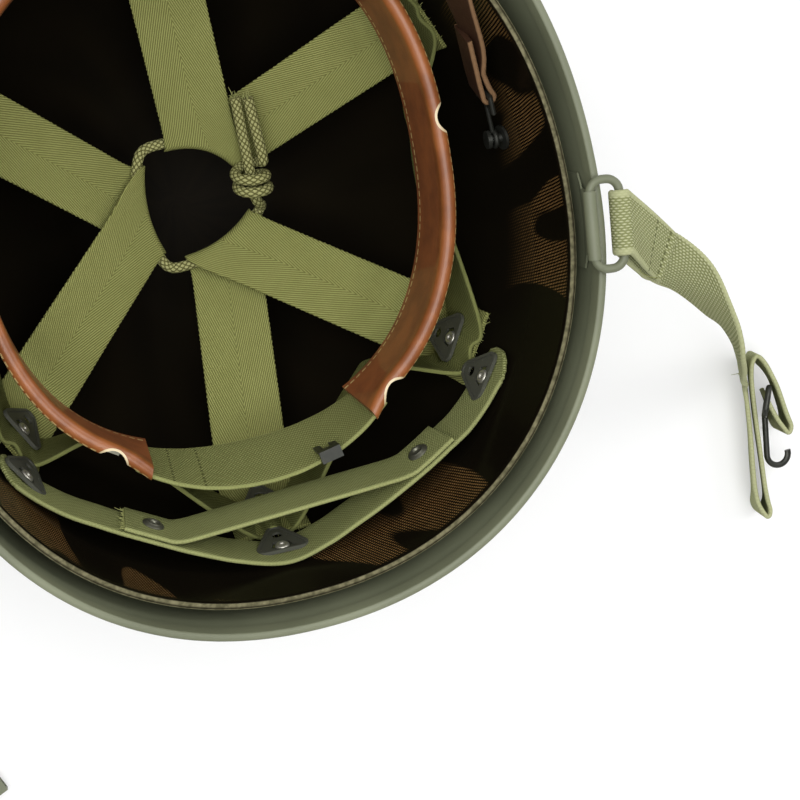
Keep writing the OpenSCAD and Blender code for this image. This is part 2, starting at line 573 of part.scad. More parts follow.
// Nape band and strap
nape_off = wall_fit + 0.45 + nape_t / 2;
nape_plate_off = nape_off + nape_t / 2 + 0.75;
module nape_washer(i) {
    color(dark) at_wall(nape_az[i], nape_z - 4.6, nape_plate_off) rotate([0, 0, 180]) a_washer();
}
nape_knots = [[327, nape_z + 4, 0.3], [321, nape_z, 0], [315.5, nape_z, 0.2], [308, nape_z + 3, 4],
    [301, nape_z + 3, 6], [292, nape_z + 2, 4.5], [281, nape_z, 1.2], [276, nape_z, 0], [270, nape_z, 0],
    [264, nape_z, 0.3], [257, nape_z + 1, 5], [248, nape_z + 3, 12], [240, nape_z + 4, 14],
    [232, nape_z + 3, 7.5], [224.5, nape_z, 0.2], [219, nape_z, 0], [213, nape_z + 3, 0.3]];
nape_uv = curve(nape_knots, 2);
function nape_at(q, extra) = wall_point(q[0], q[1], nape_off + q[2] + extra);
nape_path = [for (q = nape_uv) nape_at(q, 0)];
module nape_band() {
    color(green) webbing([for (i = [0:len(nape_path) - 1]) let(t = along(nape_path, i),
        up = wall_up(nape_uv[i][0], nape_z), b = unit(up - t * (up * t)))
            [nape_path[i], b, cross(t, b), nape_w / 2]], nape_t);
}

// nape strap: follows the band at its two snapped ends and runs straight between them
lift = nape_t + 0.45;
strap_line = concat([for (i = [4:8]) nape_at(nape_uv[i], lift)],
    [for (f = [0.2, 0.4, 0.6, 0.8]) mix(nape_at(nape_uv[8], lift), nape_at(nape_uv[24], lift), f)
        + wall_in(270, nape_z) * 3 * sin(180 * f)],
    [for (i = [24:27]) nape_at(nape_uv[i], lift)]);
strap_az = concat([for (i = [4:8]) nape_uv[i][0]], [for (f = [0.2, 0.4, 0.6, 0.8])
    nape_uv[8][0] + (nape_uv[24][0] - nape_uv[8][0]) * f], [for (i = [24:27]) nape_uv[i][0]]);
module nape_strap() {
    color(green) webbing([for (i = [0:len(strap_line) - 1]) let(t = along(strap_line, i),
        up = wall_up(strap_az[i], nape_z), b = unit(up - t * (up * t)))
            [strap_line[i], b, cross(t, b), nape_w / 2]], nape_t);
}

// Sweatband
leather_from = -66;
leather_to = 249;
rear_strap_w = 28;
rear_strap_t = 1.6;
rear_strap_z = sweat_z + sweat_h / 2 + 1;
rear_strap_off = leather_t / 2 + 0.2 + rear_strap_t / 2;
module sweatband_leather() {
    n = 52;
    color(hide) webbing([for (i = [0:n]) let(a = leather_from + (leather_to - leather_from) * i / n)
        [sweat_pt(a, sweat_z + sweat_h / 2, 0), [0, 0, 1], sweat_out(a), sweat_h / 2]], leather_t);
}
module sweatband_rear_strap() {
    n = 14;
    lap = 3.4;
    span = 360 + leather_from - leather_to + 2 * lap;
    color(green) webbing([for (i = [0:n]) let(a = leather_to - lap + span * i / n)
        [sweat_pt(a, rear_strap_z, rear_strap_off), [0, 0, 1], sweat_out(a), rear_strap_w / 2]],
        rear_strap_t);
}

// small steel adjusting buckle of the rear strap
module sweatband_buckle() {
    a = 285;
    p = sweat_pt(a, rear_strap_z, rear_strap_off);
    w = rear_strap_w;
    color(dark) place(p, sweat_side(a), sweat_out(a) * -1) difference() {
        cube([8, w + 4, rear_strap_t + 2.8], center = true);
        cube([9, w + 0.6, rear_strap_t + 0.8], center = true);
        cube([3, w - 4, 9], center = true);
    }
}

// spring clips that hang the sweatband on the upper edge of the headband webbing
clip_w = 9;
module sweatband_clip(i) {
    a = clip_az[i];
    top = wash_z + headband_w / 2;
    x0 = leather_t / 2 + 0.25;
    out = band_rest + headband_t / 2 + 0.45;
    color([0.6, 0.6, 0.55]) place(sweat_pt(a, 0, 0), sweat_out(a), [0, 0, 1]) {
        translate([x0, -clip_w / 2, sweat_z + 4]) cube([0.8, clip_w, 27]);
        translate([x0, -clip_w / 2, top + 0.4]) cube([out + 0.8 - x0, clip_w, 0.8]);
        translate([out, -clip_w / 2, top - 7]) cube([0.8, clip_w, 8.2]);
    }
}

// tubular rivets of the suspension: head on the washer, shank through the layers to the liner wall
module inner_heads(azs, z, off) {
    for (a = azs) at_wall(a, z - 4.6, off) rotate([0, 0, 180]) translate([0, 4.6, plate_t + 0.1])
        cylinder(h = 0.8, d = 5.2);
}
module outer_heads(azs, z) {
    for (a = azs) at_wall(a, z, -liner_t - 0.8) cylinder(h = 0.5, d = 8);
}
module suspension_rivets() {
    color([0.7, 0.7, 0.66]) {
        inner_heads(washer_az, wash_z, plate_off);
        outer_heads(washer_az, wash_z);
    }
}
module nape_rivets() {
    color([0.7, 0.7, 0.66]) {
        inner_heads(nape_az, nape_z, nape_plate_off);
        outer_heads(nape_az, nape_z);
    }
}

// snap fasteners that hold the nape strap on the nape band
snaps = [7, 25];
module on_band(line, az, i, extra) {
    t = along(line, i);
    up = wall_up(az, nape_z);
    n = cross(t, unit(up - t * (up * t)));
    place(line[i] + n * extra, t, n) children();
}
module snap_studs() {
    color([0.75, 0.75, 0.72]) for (i = snaps) on_band(nape_path, nape_uv[i][0], i, -nape_t / 2 - 0.45)
        rotate([180, 0, 0]) intersection() {
            sphere(d = 8);
            cylinder(h = 2, d = 9);
        }
}
module snap_sockets() {
    color([0.75, 0.75, 0.72]) for (i = [3, len(strap_line) - 3])
        on_band(strap_line, strap_az[i], i, nape_t / 2 + 0.4) difference() {
            cylinder(h = 1.8, d = 8.4);
            translate([0, 0, 0.8]) cylinder(h = 2, d = 4.4);
        }
}

// Leather chinstrap of the liner
stud_p = wall_point(stud_az, stud_z, 0.45);
stud_d = 3.4;
module liner_stud(s) {
    color(dark) mirror([s > 0 ? 0 : 1, 0, 0]) {
        place(stud_p, wall_side(stud_az), wall_in(stud_az, stud_z)) cylinder(h = 1, d = 9);
        translate(stud_p - [0.7, 0, 0]) rotate([0, -90, 0]) {
            cylinder(h = 5, d = stud_d);
            translate([0, 0, 4.3]) cylinder(h = 1.4, d = 6.6);
        }
    }
}
hook_in = 3.3;
thin_wire = 1.8;
hook_p = stud_p - [hook_in, 0, 0];
loop_c = hook_p + [-3, 13.5, 6.8];
hook_rod = thin_wire - 0.2;
loop_l = 5.6;
module liner_hook(s) {
    e = thin_w / 2 + 0.5 + thin_wire / 2;
    u = unit(loop_c - hook_p);
    v = unit(cross([1, 0, 0], u));
    ring = stud_d / 2 + 0.2 + thin_wire / 2;
    color(dark) mirror([s > 0 ? 0 : 1, 0, 0]) {
        translate(hook_p) rotate([0, 90, 0]) rotate_extrude() translate([ring, 0]) circle(d = thin_wire);
        translate(hook_p) place(u * ring, [1, 0, 0] - u * u[0], u)
            cylinder(h = norm(loop_c - hook_p) - ring, d = hook_rod);
        for (k = [-1, 1]) place(loop_c + v * e * k - u * thin_wire / 2, v, u)
            cylinder(h = loop_l + thin_wire, d = thin_wire);
        for (k = [0, loop_l]) place(loop_c + u * k - v * (e + 0.3), u, v)
            cylinder(h = 2 * e + 0.6, d = hook_rod);
    }
}
strap_in = loop_c + unit(loop_c - hook_p) * 8.2;
// over the brim: azimuth on the rim, x, y and z from the rim there, and the roll
thin_route = [[29, -15.23, -8.38, -29.95, 92], [40, -13.47, -12.15, -14.6, 112],
    [48, -7.41, -9.08, 0.97, 150], [54, -1.46, -1.19, 4.34, 178], [60, 1.6, 4.6, 4.37, 202],
    [67, 3.44, 7.62, 0.09, 240], [74, 1.73, 8.14, -4.1, 262], [82, -0.36, 6.59, -6.32, 270],
    [90, -0, 5.4, -6.5, 270]];
thin_knots = concat([[strap_in[0], strap_in[1], strap_in[2], 90]],
    [for (q = thin_route) let(p = shell_pt(q[0], 1, 0)) [p[0] + q[1], p[1] + q[2], p[2] + q[3], q[4]]]);
module liner_chinstrap() {
    c = curve(thin_knots, 3);
    all = concat(c, [for (i = [len(c) - 2:-1:0]) [-c[i][0], c[i][1], c[i][2], c[i][3]]]);
    line = [for (q = all) [q[0], q[1], q[2]]];
    color(hide) webbing([for (i = [0:len(all) - 1]) rolled(line, i, all[i][3], thin_w / 2)], thin_t);
}
module liner_strap_buckle() {
    p = shell_pt(90, 1, 0);
    color(dark) translate([16, p[1] + 4.95, p[2] - 5.9]) rotate([0, 0, -5]) difference() {
        cube([13, 6, thin_w + 6], center = true);
        cube([14, thin_t + 1.4, thin_w + 1.8], center = true);
        cube([8, 8, thin_w + 1.8], center = true);
    }
}

steel_shell();
rim_binding();
bail_plate(1);  // bail_plate_right
bail_plate(-1);  // bail_plate_left
bail(1);  // bail_right
bail(-1);  // bail_left
chinstrap_right();
chin_hook();
chinstrap_left();
chin_buckle();
strap_end_clip();
liner_shell();
headband_webbing();
crown_web(0);  // crown_web_front
crown_web(1);  // crown_web_left
crown_web(2);  // crown_web_rear
tie_cord();
suspension_washer(0);  // washer_front
suspension_washer(1);  // washer_front_right
suspension_washer(2);  // washer_front_left
suspension_washer(3);  // washer_rear_left
suspension_washer(4);  // washer_rear
suspension_washer(5);  // washer_rear_right
nape_washer(0);  // nape_washer_right
nape_washer(1);  // nape_washer_centre
nape_washer(2);  // nape_washer_left
nape_band();
nape_strap();
sweatband_leather();
sweatband_rear_strap();
suspension_rivets();
nape_rivets();
snap_studs();
snap_sockets();
sweatband_buckle();
sweatband_clip(0);  // sweatband_clip_1
sweatband_clip(1);  // sweatband_clip_2
sweatband_clip(2);  // sweatband_clip_3
sweatband_clip(3);  // sweatband_clip_4
sweatband_clip(4);  // sweatband_clip_5
sweatband_clip(5);  // sweatband_clip_6
liner_stud(1);  // liner_stud_right
liner_stud(-1);  // liner_stud_left
liner_chinstrap();
liner_strap_buckle();
liner_hook(1);  // liner_hook_right
liner_hook(-1);  // liner_hook_left
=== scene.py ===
"""Combat helmet lying on its crown: steel shell, fibre liner, webbing, leather and straps.

Shapes are worked out in millimetres on numpy grids and set into the scene in metres.
"""
import bmesh
import bpy
import numpy as np
from mathutils import Matrix


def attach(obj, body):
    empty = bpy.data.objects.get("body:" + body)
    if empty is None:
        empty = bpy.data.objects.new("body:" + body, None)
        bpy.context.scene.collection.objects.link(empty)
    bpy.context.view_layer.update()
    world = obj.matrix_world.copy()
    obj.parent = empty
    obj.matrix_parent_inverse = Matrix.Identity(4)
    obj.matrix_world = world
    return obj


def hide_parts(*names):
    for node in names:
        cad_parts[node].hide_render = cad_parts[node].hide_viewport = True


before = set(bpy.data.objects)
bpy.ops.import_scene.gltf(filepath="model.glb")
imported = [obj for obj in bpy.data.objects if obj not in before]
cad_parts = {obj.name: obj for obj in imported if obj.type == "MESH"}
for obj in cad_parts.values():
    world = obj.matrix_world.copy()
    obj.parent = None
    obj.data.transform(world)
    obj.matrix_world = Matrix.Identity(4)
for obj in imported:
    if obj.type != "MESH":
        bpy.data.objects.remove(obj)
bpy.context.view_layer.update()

# The view: the helmet lies on a white table and the camera looks down into it from above,
# so the picture holds the rear half, the right chinstrap and its hook. A large soft lamp
# hangs over the camera, weaker ones stand at the sides, and the table is white to the camera.
scene = bpy.context.scene
scene.view_settings.view_transform = "Standard"

lens_mm = 80.16
camera_at = (-0.0912, 0.0442, 0.7405)
camera_right = (0.96506, -0.18000, 0.19041)
camera_up = (0.19700, 0.97758, -0.07432)
camera_back = (-0.17276, 0.10924, 0.97889)
camera_data = bpy.data.cameras.new("camera")
camera_data.lens = lens_mm
camera_data.sensor_width = 36
camera_data.shift_x = 0.1473
camera_data.shift_y = -0.1523
camera_data.clip_start = 0.01


def unit(v):
    """Vectors of length one along the last axis."""
    v = np.asarray(v, float)
    return v / np.linalg.norm(v, axis=-1, keepdims=True)


def stand(name, data, right, up, back, at):
    """Object in the scene, its own x, y and z along three directions."""
    obj = bpy.data.objects.new(name, data)
    obj.matrix_world = Matrix([*zip(right, up, back, at), (0, 0, 0, 1)])
    scene.collection.objects.link(obj)
    return obj


def lamp(name, at, size, watts):
    """Square area lamp at a place in metres that faces the helmet."""
    data = bpy.data.lights.new(name, "AREA")
    data.size = size
    data.energy = watts
    back = unit(np.array(at) - (0, 0, 0.08))
    side = unit(np.cross((0, 0, 1), back))
    stand(name, data, side, np.cross(back, side), back, at)


scene.camera = stand("camera", camera_data, camera_right, camera_up, camera_back, camera_at)
for word, at, size, watts in (("over", (-0.3, 0.15, 2.1), 1.8, 44), ("right", (1.5, 0.6, 1.3), 1.3, 13),
                              ("front", (-0.2, 1.7, 1.2), 1.3, 6), ("rear", (0.3, -1.6, 1.1), 1.3, 5),
                              ("left", (-1.6, 0.1, 1.2), 1.2, 4)):
    lamp(f"lamp_{word}", at, size, watts)


def math_node(operation, turned=False):
    """Method that adds one Math node for a wire and, where there is one, a second value."""
    def method(self, other=0.0):
        a, b = (other, self) if turned else (self, other)
        return self.finish.make("Math", {0: a, 1: b}, operation=operation)
    return method


class Wire:
    """A shader socket in Python expressions: each operator adds one Math node."""

    def __init__(self, finish, socket):
        self.finish = finish
        self.socket = socket

    __add__ = __radd__ = math_node("ADD")
    __mul__ = __rmul__ = math_node("MULTIPLY")
    __sub__ = math_node("SUBTRACT")
    __rsub__ = math_node("SUBTRACT", True)
    sin = math_node("SINE")
    abs = math_node("ABSOLUTE")
    fract = math_node("FRACT")
    floor = math_node("FLOOR")
    modulo = math_node("MODULO")
    least = math_node("MINIMUM")
    most = math_node("MAXIMUM")

    def step(self, low, high):
        """0 below low, 1 above high and smooth between them."""
        return self.finish.make("MapRange", {0: self, 1: low, 2: high, 3: 0.0, 4: 1.0},
                                interpolation_type="SMOOTHSTEP")


class Finish:
    """A procedural material: constants go on the shader's own sockets, patterns are fed to it."""

    def __init__(self, name, **constants):
        self.material = bpy.data.materials.new(name)
        self.material.use_nodes = True
        self.tree = self.material.node_tree
        self.shader = self.tree.nodes["Principled BSDF"]
        for key, value in constants.items():
            self.shader.inputs[key.replace("_", " ")].default_value = value

    def make(self, kind, values, output=0, **settings):
        """Output of a new node: its settings first, then the values or links of its sockets."""
        node = self.tree.nodes.new("ShaderNode" + kind)
        for key, value in settings.items():
            setattr(node, key, value)
        for key, value in values.items():
            if isinstance(value, Wire):
                self.tree.links.new(value.socket, node.inputs[key])
            else:
                node.inputs[key].default_value = value
        return Wire(self, node.outputs[output])

    def place(self):
        """The point on the object, in millimetres."""
        at = self.make("TexCoord", {}, "Object")
        return self.point(*(self.make("SeparateXYZ", {0: at}, k) * 1000.0 for k in range(3)))

    def along(self):
        """u along a strip and v across it, in millimetres."""
        at = self.make("UVMap", {}, uv_map="UVMap")
        return [self.make("SeparateXYZ", {0: at}, k) for k in range(2)]

    def point(self, x, y, z=0.0):
        """Three numbers as one vector."""
        return self.make("CombineXYZ", {0: x, 1: y, 2: z})

    def noise(self, at, scale, detail=2.0, rough=0.5):
        """Cloudy noise from 0 to 1, with so many cells per millimetre."""
        return self.make("TexNoise", {"Vector": at, "Scale": scale, "Detail": detail, "Roughness": rough})

    def mark(self):
        """The mesh's own mark at each point."""
        return self.make("Attribute", {}, "Fac", attribute_name="mark")

    def blend(self, factor, a, b):
        """Colour a where the factor is 0 and b where it is 1."""
        return self.make("Mix", {0: factor, 6: a, 7: b}, 2, data_type="RGBA")

    def feed(self, socket, value):
        """Link a wire to a socket of the shader."""
        self.tree.links.new(value.socket, self.shader.inputs[socket])

    def bump(self, height, depth_mm, strength=1.0):
        """Relief of a pattern from 0 to 1, as deep as depth_mm."""
        values = {"Strength": strength, "Distance": depth_mm * 0.001, "Height": height}
        self.feed("Normal", self.make("Bump", values))


def tone(red, green, blue):
    """Linear colour of an 8-bit display colour."""
    c = np.array([red, green, blue]) / 255.0
    return tuple(np.where(c <= 0.04045, c / 12.92, ((c + 0.055) / 1.055) ** 2.4)) + (1.0,)


table = Finish("table_top", Base_Color=(0.9, 0.9, 0.9, 1), Roughness=0.9, Specular_IOR_Level=0.1)
seen = table.make("LightPath", {}, "Is Camera Ray")
glow = table.make("Emission", {"Color": (1, 1, 1, 1), "Strength": 1.0})
bare = Wire(table, table.shader.outputs[0])
mixed = table.make("MixShader", {0: seen * 0.35, 1: bare, 2: glow})
table.tree.links.new(mixed.socket, table.tree.nodes["Material Output"].inputs["Surface"])
table_mesh = bpy.data.meshes.new("table_top")
table_mesh.from_pydata([(-4, -4, 0), (4, -4, 0), (4, 4, 0), (-4, 4, 0)], [], [(0, 1, 2, 3)])
table_mesh.materials.append(table.material)
table_top = bpy.data.objects.new("table_top", table_mesh)
scene.collection.objects.link(table_top)

world = bpy.data.worlds.new("studio")
scene.world = world
world.use_nodes = True
room = world.node_tree
path = room.nodes.new("ShaderNodeLightPath")
sky = room.nodes["Background"]
sky.inputs["Color"].default_value = (1, 1, 1, 1)
sky.inputs["Strength"].default_value = 0.22
white = room.nodes.new("ShaderNodeBackground")
white.inputs["Strength"].default_value = 1.0
choose = room.nodes.new("ShaderNodeMixShader")
for k, output in enumerate((path.outputs["Is Camera Ray"], sky.outputs[0], white.outputs[0])):
    room.links.new(output, choose.inputs[k])
room.links.new(choose.outputs[0], room.nodes["World Output"].inputs["Surface"])


# The steel shell: one deep drawing of 1.1 mm steel, egg shaped from above, its wall turned
# outward in a flare to the rim. It is painted grey-green inside and out.
rim = dict(w=119.3, f=154.0, r=128.2)
wall = dict(w=117.0, f=138.5, r=126.2)
shell_high = dict(side=176.0, front=155.0, rear=168.0)
steel_t = 1.1
crown_power = 0.82
shift_back = 9.0
flare_from = 0.72


def gap_deg(a, b):
    """Signed angle from b to a, in degrees."""
    return (a - b + 900) % 360 - 180


def cos(a):
    """Cosine of an angle in degrees."""
    return np.cos(np.radians(a))


def sin(a):
    """Sine of an angle in degrees."""
    return np.sin(np.radians(a))


def oval(a, w, f, r, n=2.1):
    """Distance to an egg outline: (|cos a|/w)^n + (|sin a|/reach)^n = 1, reach f ahead and r behind."""
    reach = np.where(sin(a) > 0, f, r)
    return (np.abs(cos(a) / w) ** n + np.abs(sin(a) / reach) ** n) ** (-1 / n)


def edge_height(a, side, front, rear):
    """Height of an edge: side height less two bell curves, at the brim and at the nape."""
    return (side - (side - front) * np.exp(-(gap_deg(a, 90) / 40) ** 2)
            - (side - rear) * np.exp(-(gap_deg(a, 270) / 38) ** 2))


def bowl(a, t, d, edge, high, low=0.0, top=None):
    """Point at azimuth a and t from 0 at the crown to 1 at the rim, d inward: height goes as
    1 - cos 90t, reach as (sin 90t)^p, plus a flare above flare_from where a wider top is given."""
    a, t = np.broadcast_arrays(a, t)
    wide = oval(a, *(edge[k] - d for k in "wfr"))
    reach = sin(90 * t) ** crown_power * wide
    if top:
        flare = np.clip((t - flare_from) / (1 - flare_from), 0, None) ** 2.2
        reach = reach + (oval(a, *(top[k] - d for k in "wfr")) - wide) * flare
    low, high = low + d, edge_height(a, **high)
    return np.stack([reach * cos(a), reach * sin(a) - shift_back * t * t,
                     low + (high - low) * (1 - cos(90 * t))], -1)


def share_up(z, low, high):
    """The t at which a bowl reaches height z: arccos(1 - its share of the height) / 90."""
    return np.degrees(np.arccos(np.clip(1 - (z - low) / (high - low), -1, 1))) / 90


def shell_point(a, t, d):
    """The shell's bowl, flared from its wall to its rim."""
    return bowl(a, t, d, wall, shell_high, top=rim)


def shell_at(a, z, d):
    """The same surface at height z; past the rim it goes straight up."""
    high = edge_height(a, **shell_high)
    point = shell_point(a, share_up(np.minimum(z, high), d, high), d)
    return point + np.maximum(z - high, 0)[..., None] * (0, 0, 1)


def skin(rings, uv=None, loop=False, marks=None):
    """Closed surface through rings of points (m, n, 3): quads between neighbours, a fan at both
    ends unless the run closes on itself, and faces turned so that the volume is positive. The
    marks (m, n) tell parts of its material apart."""
    m, n = rings.shape[:2]
    points = rings.reshape(-1, 3)
    uv = np.zeros((m + 1, n + 1, 2)) if uv is None else uv
    i, j = np.meshgrid(np.arange(m if loop else m - 1), np.arange(n), indexing="ij")
    turns = ((i, j), (i, j + 1), (i + 1, j + 1), (i + 1, j))
    quads = np.stack([a % m * n + b % n for a, b in turns], -1).reshape(-1, 4)
    corner = np.stack([uv[a, b] for a, b in turns], 2).reshape(-1, 4, 2)
    marks = np.zeros((m, n)) if marks is None else marks
    a, b, c, d = (points[quads[:, k]] for k in range(4))
    volume = (a * (np.cross(b, c) + np.cross(c, d))).sum()
    parts = [(points, quads, corner, marks.reshape(-1))]
    k = np.arange(n)
    for ring, turn in () if loop else ((0, -1), (m - 1, 1)):
        own = np.vstack([rings[ring], rings[ring].mean(0)])
        tri = np.stack([np.full(n, n), k, (k + 1) % n], -1)[:, ::turn]
        centre = np.broadcast_to(uv[ring, :n].mean(0), (n, 2))
        tri_uv = np.stack([centre, uv[ring, k], uv[ring, k + 1]], 1)[:, ::turn]
        p, q, r = (own[tri[:, s]] for s in range(3))
        volume += (p * np.cross(q, r)).sum()
        parts.append((own, tri, tri_uv, np.append(marks[ring], marks[ring].mean())))
    if volume < 0:
        parts = [(p, f[:, ::-1], t[:, ::-1], s) for p, f, t, s in parts]
    return parts


crease = 38.0


def show(mesh, finish, body, slot, *nodes):
    """Object of a mesh in its finish, riding on its body in place of CAD nodes."""
    mesh.materials.clear()
    mesh.materials.append(finish.material)
    obj = bpy.data.objects.new(mesh.name, mesh)
    scene.collection.objects.link(obj)
    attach(obj, body)
    if nodes:
        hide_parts(*nodes)


def piece(name, parts, finish, body, slot, *nodes):
    """One object from mesh parts: doubles merged, smooth with creases, riding on its body."""
    base = np.cumsum([0] + [len(part[0]) for part in parts])
    points, mark = (np.concatenate([part[k] for part in parts]) for k in (0, 3))
    index = np.concatenate([(part[1] + b).reshape(-1) for part, b in zip(parts, base)])
    size = np.concatenate([np.full(*part[1].shape) for part in parts])
    uv = np.concatenate([part[2].reshape(-1) for part in parts])
    _, first, back = np.unique(np.round(points, 4), axis=0, return_index=True, return_inverse=True)
    points, mark, index = points[first], mark[first], back.reshape(-1)[index]
    mesh = bpy.data.meshes.new(name)
    mesh.vertices.add(len(points))
    mesh.vertices.foreach_set("co", (points * 0.001).reshape(-1))
    mesh.loops.add(len(index))
    mesh.loops.foreach_set("vertex_index", index.astype(np.int32))
    mesh.polygons.add(len(size))
    mesh.polygons.foreach_set("loop_start", np.concatenate([[0], np.cumsum(size)[:-1]]).astype(np.int32))
    mesh.polygons.foreach_set("loop_total", size.astype(np.int32))
    mesh.update(calc_edges=True)
    mesh.uv_layers.new(name="UVMap").data.foreach_set("uv", uv.reshape(-1))
    mesh.attributes.new("mark", "FLOAT", "POINT").data.foreach_set("value", mark)
    mesh.validate()
    mesh.shade_smooth()
    mesh.set_sharp_from_angle(angle=np.radians(crease))
    show(mesh, finish, body, slot, *nodes)


shell_paint = Finish("shell_paint", Roughness=0.5, Specular_IOR_Level=0.45)
at = shell_paint.place()
cloud = shell_paint.noise(at, 0.018, 3.0)
speck = shell_paint.noise(at, 0.9, 2.0).step(0.72, 0.78)
shade = shell_paint.blend(cloud.step(0.35, 0.7), tone(104, 108, 86), tone(119, 123, 99))
shell_paint.feed("Base Color", shell_paint.blend(speck * 0.25, shade, tone(158, 162, 146)))
shell_paint.bump(shell_paint.noise(at, 1.6, 2.0), 0.16, 0.35)

around = np.arange(0, 360, 1.25)
outer_t = np.linspace(0.02, 1, 90)[:, None]
inner_t = np.linspace(1, 0.02, 90)[:, None]
shell_rings = np.concatenate([shell_point(around, outer_t, 0.0), shell_point(around, inner_t, steel_t)])
piece("steel_shell_skin", skin(shell_rings), shell_paint, "shell", "shell_paint", "steel_shell")


# The rim binding: a strip of stainless steel 0.7 mm thick, folded over the raw edge of the
# shell with a leg 5 mm deep on each face and butted at the rear. It is painted over.
binding_h = 5.0
binding_t = 0.7
seat = 0.1
roll = np.linspace(0, 180, 9)
half_d = (steel_t + 2 * seat + 2 * binding_t) / 2
mid_d = steel_t / 2
fold_rise = 0.62
outer, inner = mid_d - half_d, mid_d + half_d
profile = ([(-binding_h, outer)] + [(seat + fold_rise * sin(g), mid_d - half_d * cos(g)) for g in roll]
           + [(-binding_h, inner), (-binding_h, inner - binding_t), (seat, inner - binding_t),
              (seat, outer + binding_t), (-binding_h, outer + binding_t)])
edge = edge_height(around, **shell_high)
binding_rings = np.stack([shell_at(around, edge + dz, d) for dz, d in profile], 1)
piece("rim_binding_strip", skin(binding_rings, loop=True), shell_paint, "shell", "shell_paint",
      "rim_binding")


# The bails: loops of 3 mm steel wire. One side of each turns in a tube curled from the top
# of a plate that is welded inside the shell, and the other side carries the chinstrap.
bail_at = np.array([rim["w"] - 5.3, -22.0, 179.0])
bail_yaw = 4.5
bail_wire = 3.0
bail_half = 15.0
bail_reach = 10.5
bail_corner = 4.4


def turn_z(p, angle):
    """Points turned about z by an angle in degrees."""
    c, s = cos(angle), sin(angle)
    return np.stack([p[..., 0] * c - p[..., 1] * s, p[..., 0] * s + p[..., 1] * c, p[..., 2]], -1)


def at_bail(p, side):
    """Bail coordinates to the helmet's, mirrored for the left side."""
    return (turn_z(p, -bail_yaw) + bail_at) * (side, 1, 1)


def walked(path):
    """Distance along a path at each of its points."""
    return np.concatenate([[0], np.cumsum(np.linalg.norm(np.diff(path, axis=0), axis=1))])


def heading(path, loop=False):
    """Direction of travel at each point of a path, from the neighbour before to the one after."""
    return unit(np.roll(path, -1, 0) - np.roll(path, 1, 0) if loop else np.gradient(path, axis=0))


def square_to(way, v):
    """Direction of v less its part along a unit direction."""
    return unit(v - way * (v * way).sum(-1, keepdims=True))


def tube(path, width, sides=16, loop=False, flat=1.0):
    """Round wire or cord along a path. The section turns as little as it can from point to
    point; width may change along the path and flat squeezes the second direction."""
    m = len(path)
    way = heading(path, loop)
    normal = np.zeros_like(way)
    start = np.eye(3)[np.argmin(np.abs(way[0]))]
    normal[0] = unit(np.cross(way[0], start))
    for i in range(1, m):
        normal[i] = square_to(way[i], normal[i - 1])
    if loop:
        close = normal[-1] - way[0] * (normal[-1] @ way[0])
        twist = np.arctan2(close @ np.cross(way[0], normal[0]), close @ normal[0])
        g = -twist * np.arange(m) / m
        normal = normal * np.cos(g)[:, None] + np.cross(way, normal) * np.sin(g)[:, None]
    other = np.cross(way, normal)
    half, squeeze = (np.broadcast_to(v, (m,))[:, None, None] for v in (np.asarray(width) / 2, flat))
    g = np.arange(sides) * 360 / sides
    rings = path[:, None] + (normal[:, None] * cos(g)[:, None] * half
                             + other[:, None] * sin(g)[:, None] * half * squeeze)
    u = walked(np.vstack([path, path[:1]]))
    v = np.arange(sides + 1) / sides
    return skin(rings, np.stack(np.broadcast_arrays(u[:, None], v[None]), -1), loop)


def rounded(corners, radius):
    """Closed path through corners in a plane, each turned on an arc of the given radius."""
    corners = np.array(corners)
    path = []
    for k, c in enumerate(corners):
        a, b = unit(corners[k - 1] - c), unit(corners[(k + 1) % len(corners)] - c)
        half = np.degrees(np.arccos(np.clip(a @ b, -1, 1))) / 2
        reach, hub = radius / np.tan(np.radians(half)), c + unit(a + b) * radius / sin(half)
        g = np.linspace(0, 1, 8)[:, None]
        arc = unit((c + a * reach - hub) * (1 - g) + (c + b * reach - hub) * g)
        path.append(hub + arc * radius)
    return np.concatenate(path)


def even(path, step, loop=False):
    """The same path with points at even steps; extra columns go along."""
    path = np.vstack([path, path[:1]]) if loop else path
    u = walked(path[:, :3])
    n = max(int(round(u[-1] / step)), 2)
    at = np.linspace(0, u[-1], n + 1)
    at = at[:-1] if loop else at
    return np.stack([np.interp(at, u, path[:, k]) for k in range(path.shape[1])], -1)


bail_path = rounded([(0, -bail_half, 0), (bail_reach, -bail_half, 0), (bail_reach, bail_half, 0),
                     (0, bail_half, 0)], bail_corner)
for side, word in ((1, "right"), (-1, "left")):
    wire = tube(at_bail(even(bail_path, 1.0, True), side), bail_wire, 16, True)
    piece(f"bail_wire_{word}", wire, shell_paint, f"bail_{word}", "shell_paint", f"bail_{word}")


def dress(finish, slot, *nodes):
    """CAD nodes shown as they are, in this finish."""
    for name in nodes:
        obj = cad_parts[name]
        obj.data.materials.clear()
        obj.data.materials.append(finish.material)


dress(shell_paint, "shell_paint", "bail_plate_right", "bail_plate_left", "strap_end_clip")


# The webbing chinstraps: light olive cotton webbing, coarsely woven, 19 mm wide and 2 mm
# thick. Each is passed through its bail and its end, turned in once, is sewn down on top. The
# right strap falls to the table, turns on edge and ends in a loop that carries the hook.
strap_w = 19.0
strap_t = 2.0
fall = 38.6
lay_len = 30.0
bar_gap = bail_wire / 2 + 0.3 + strap_t / 2


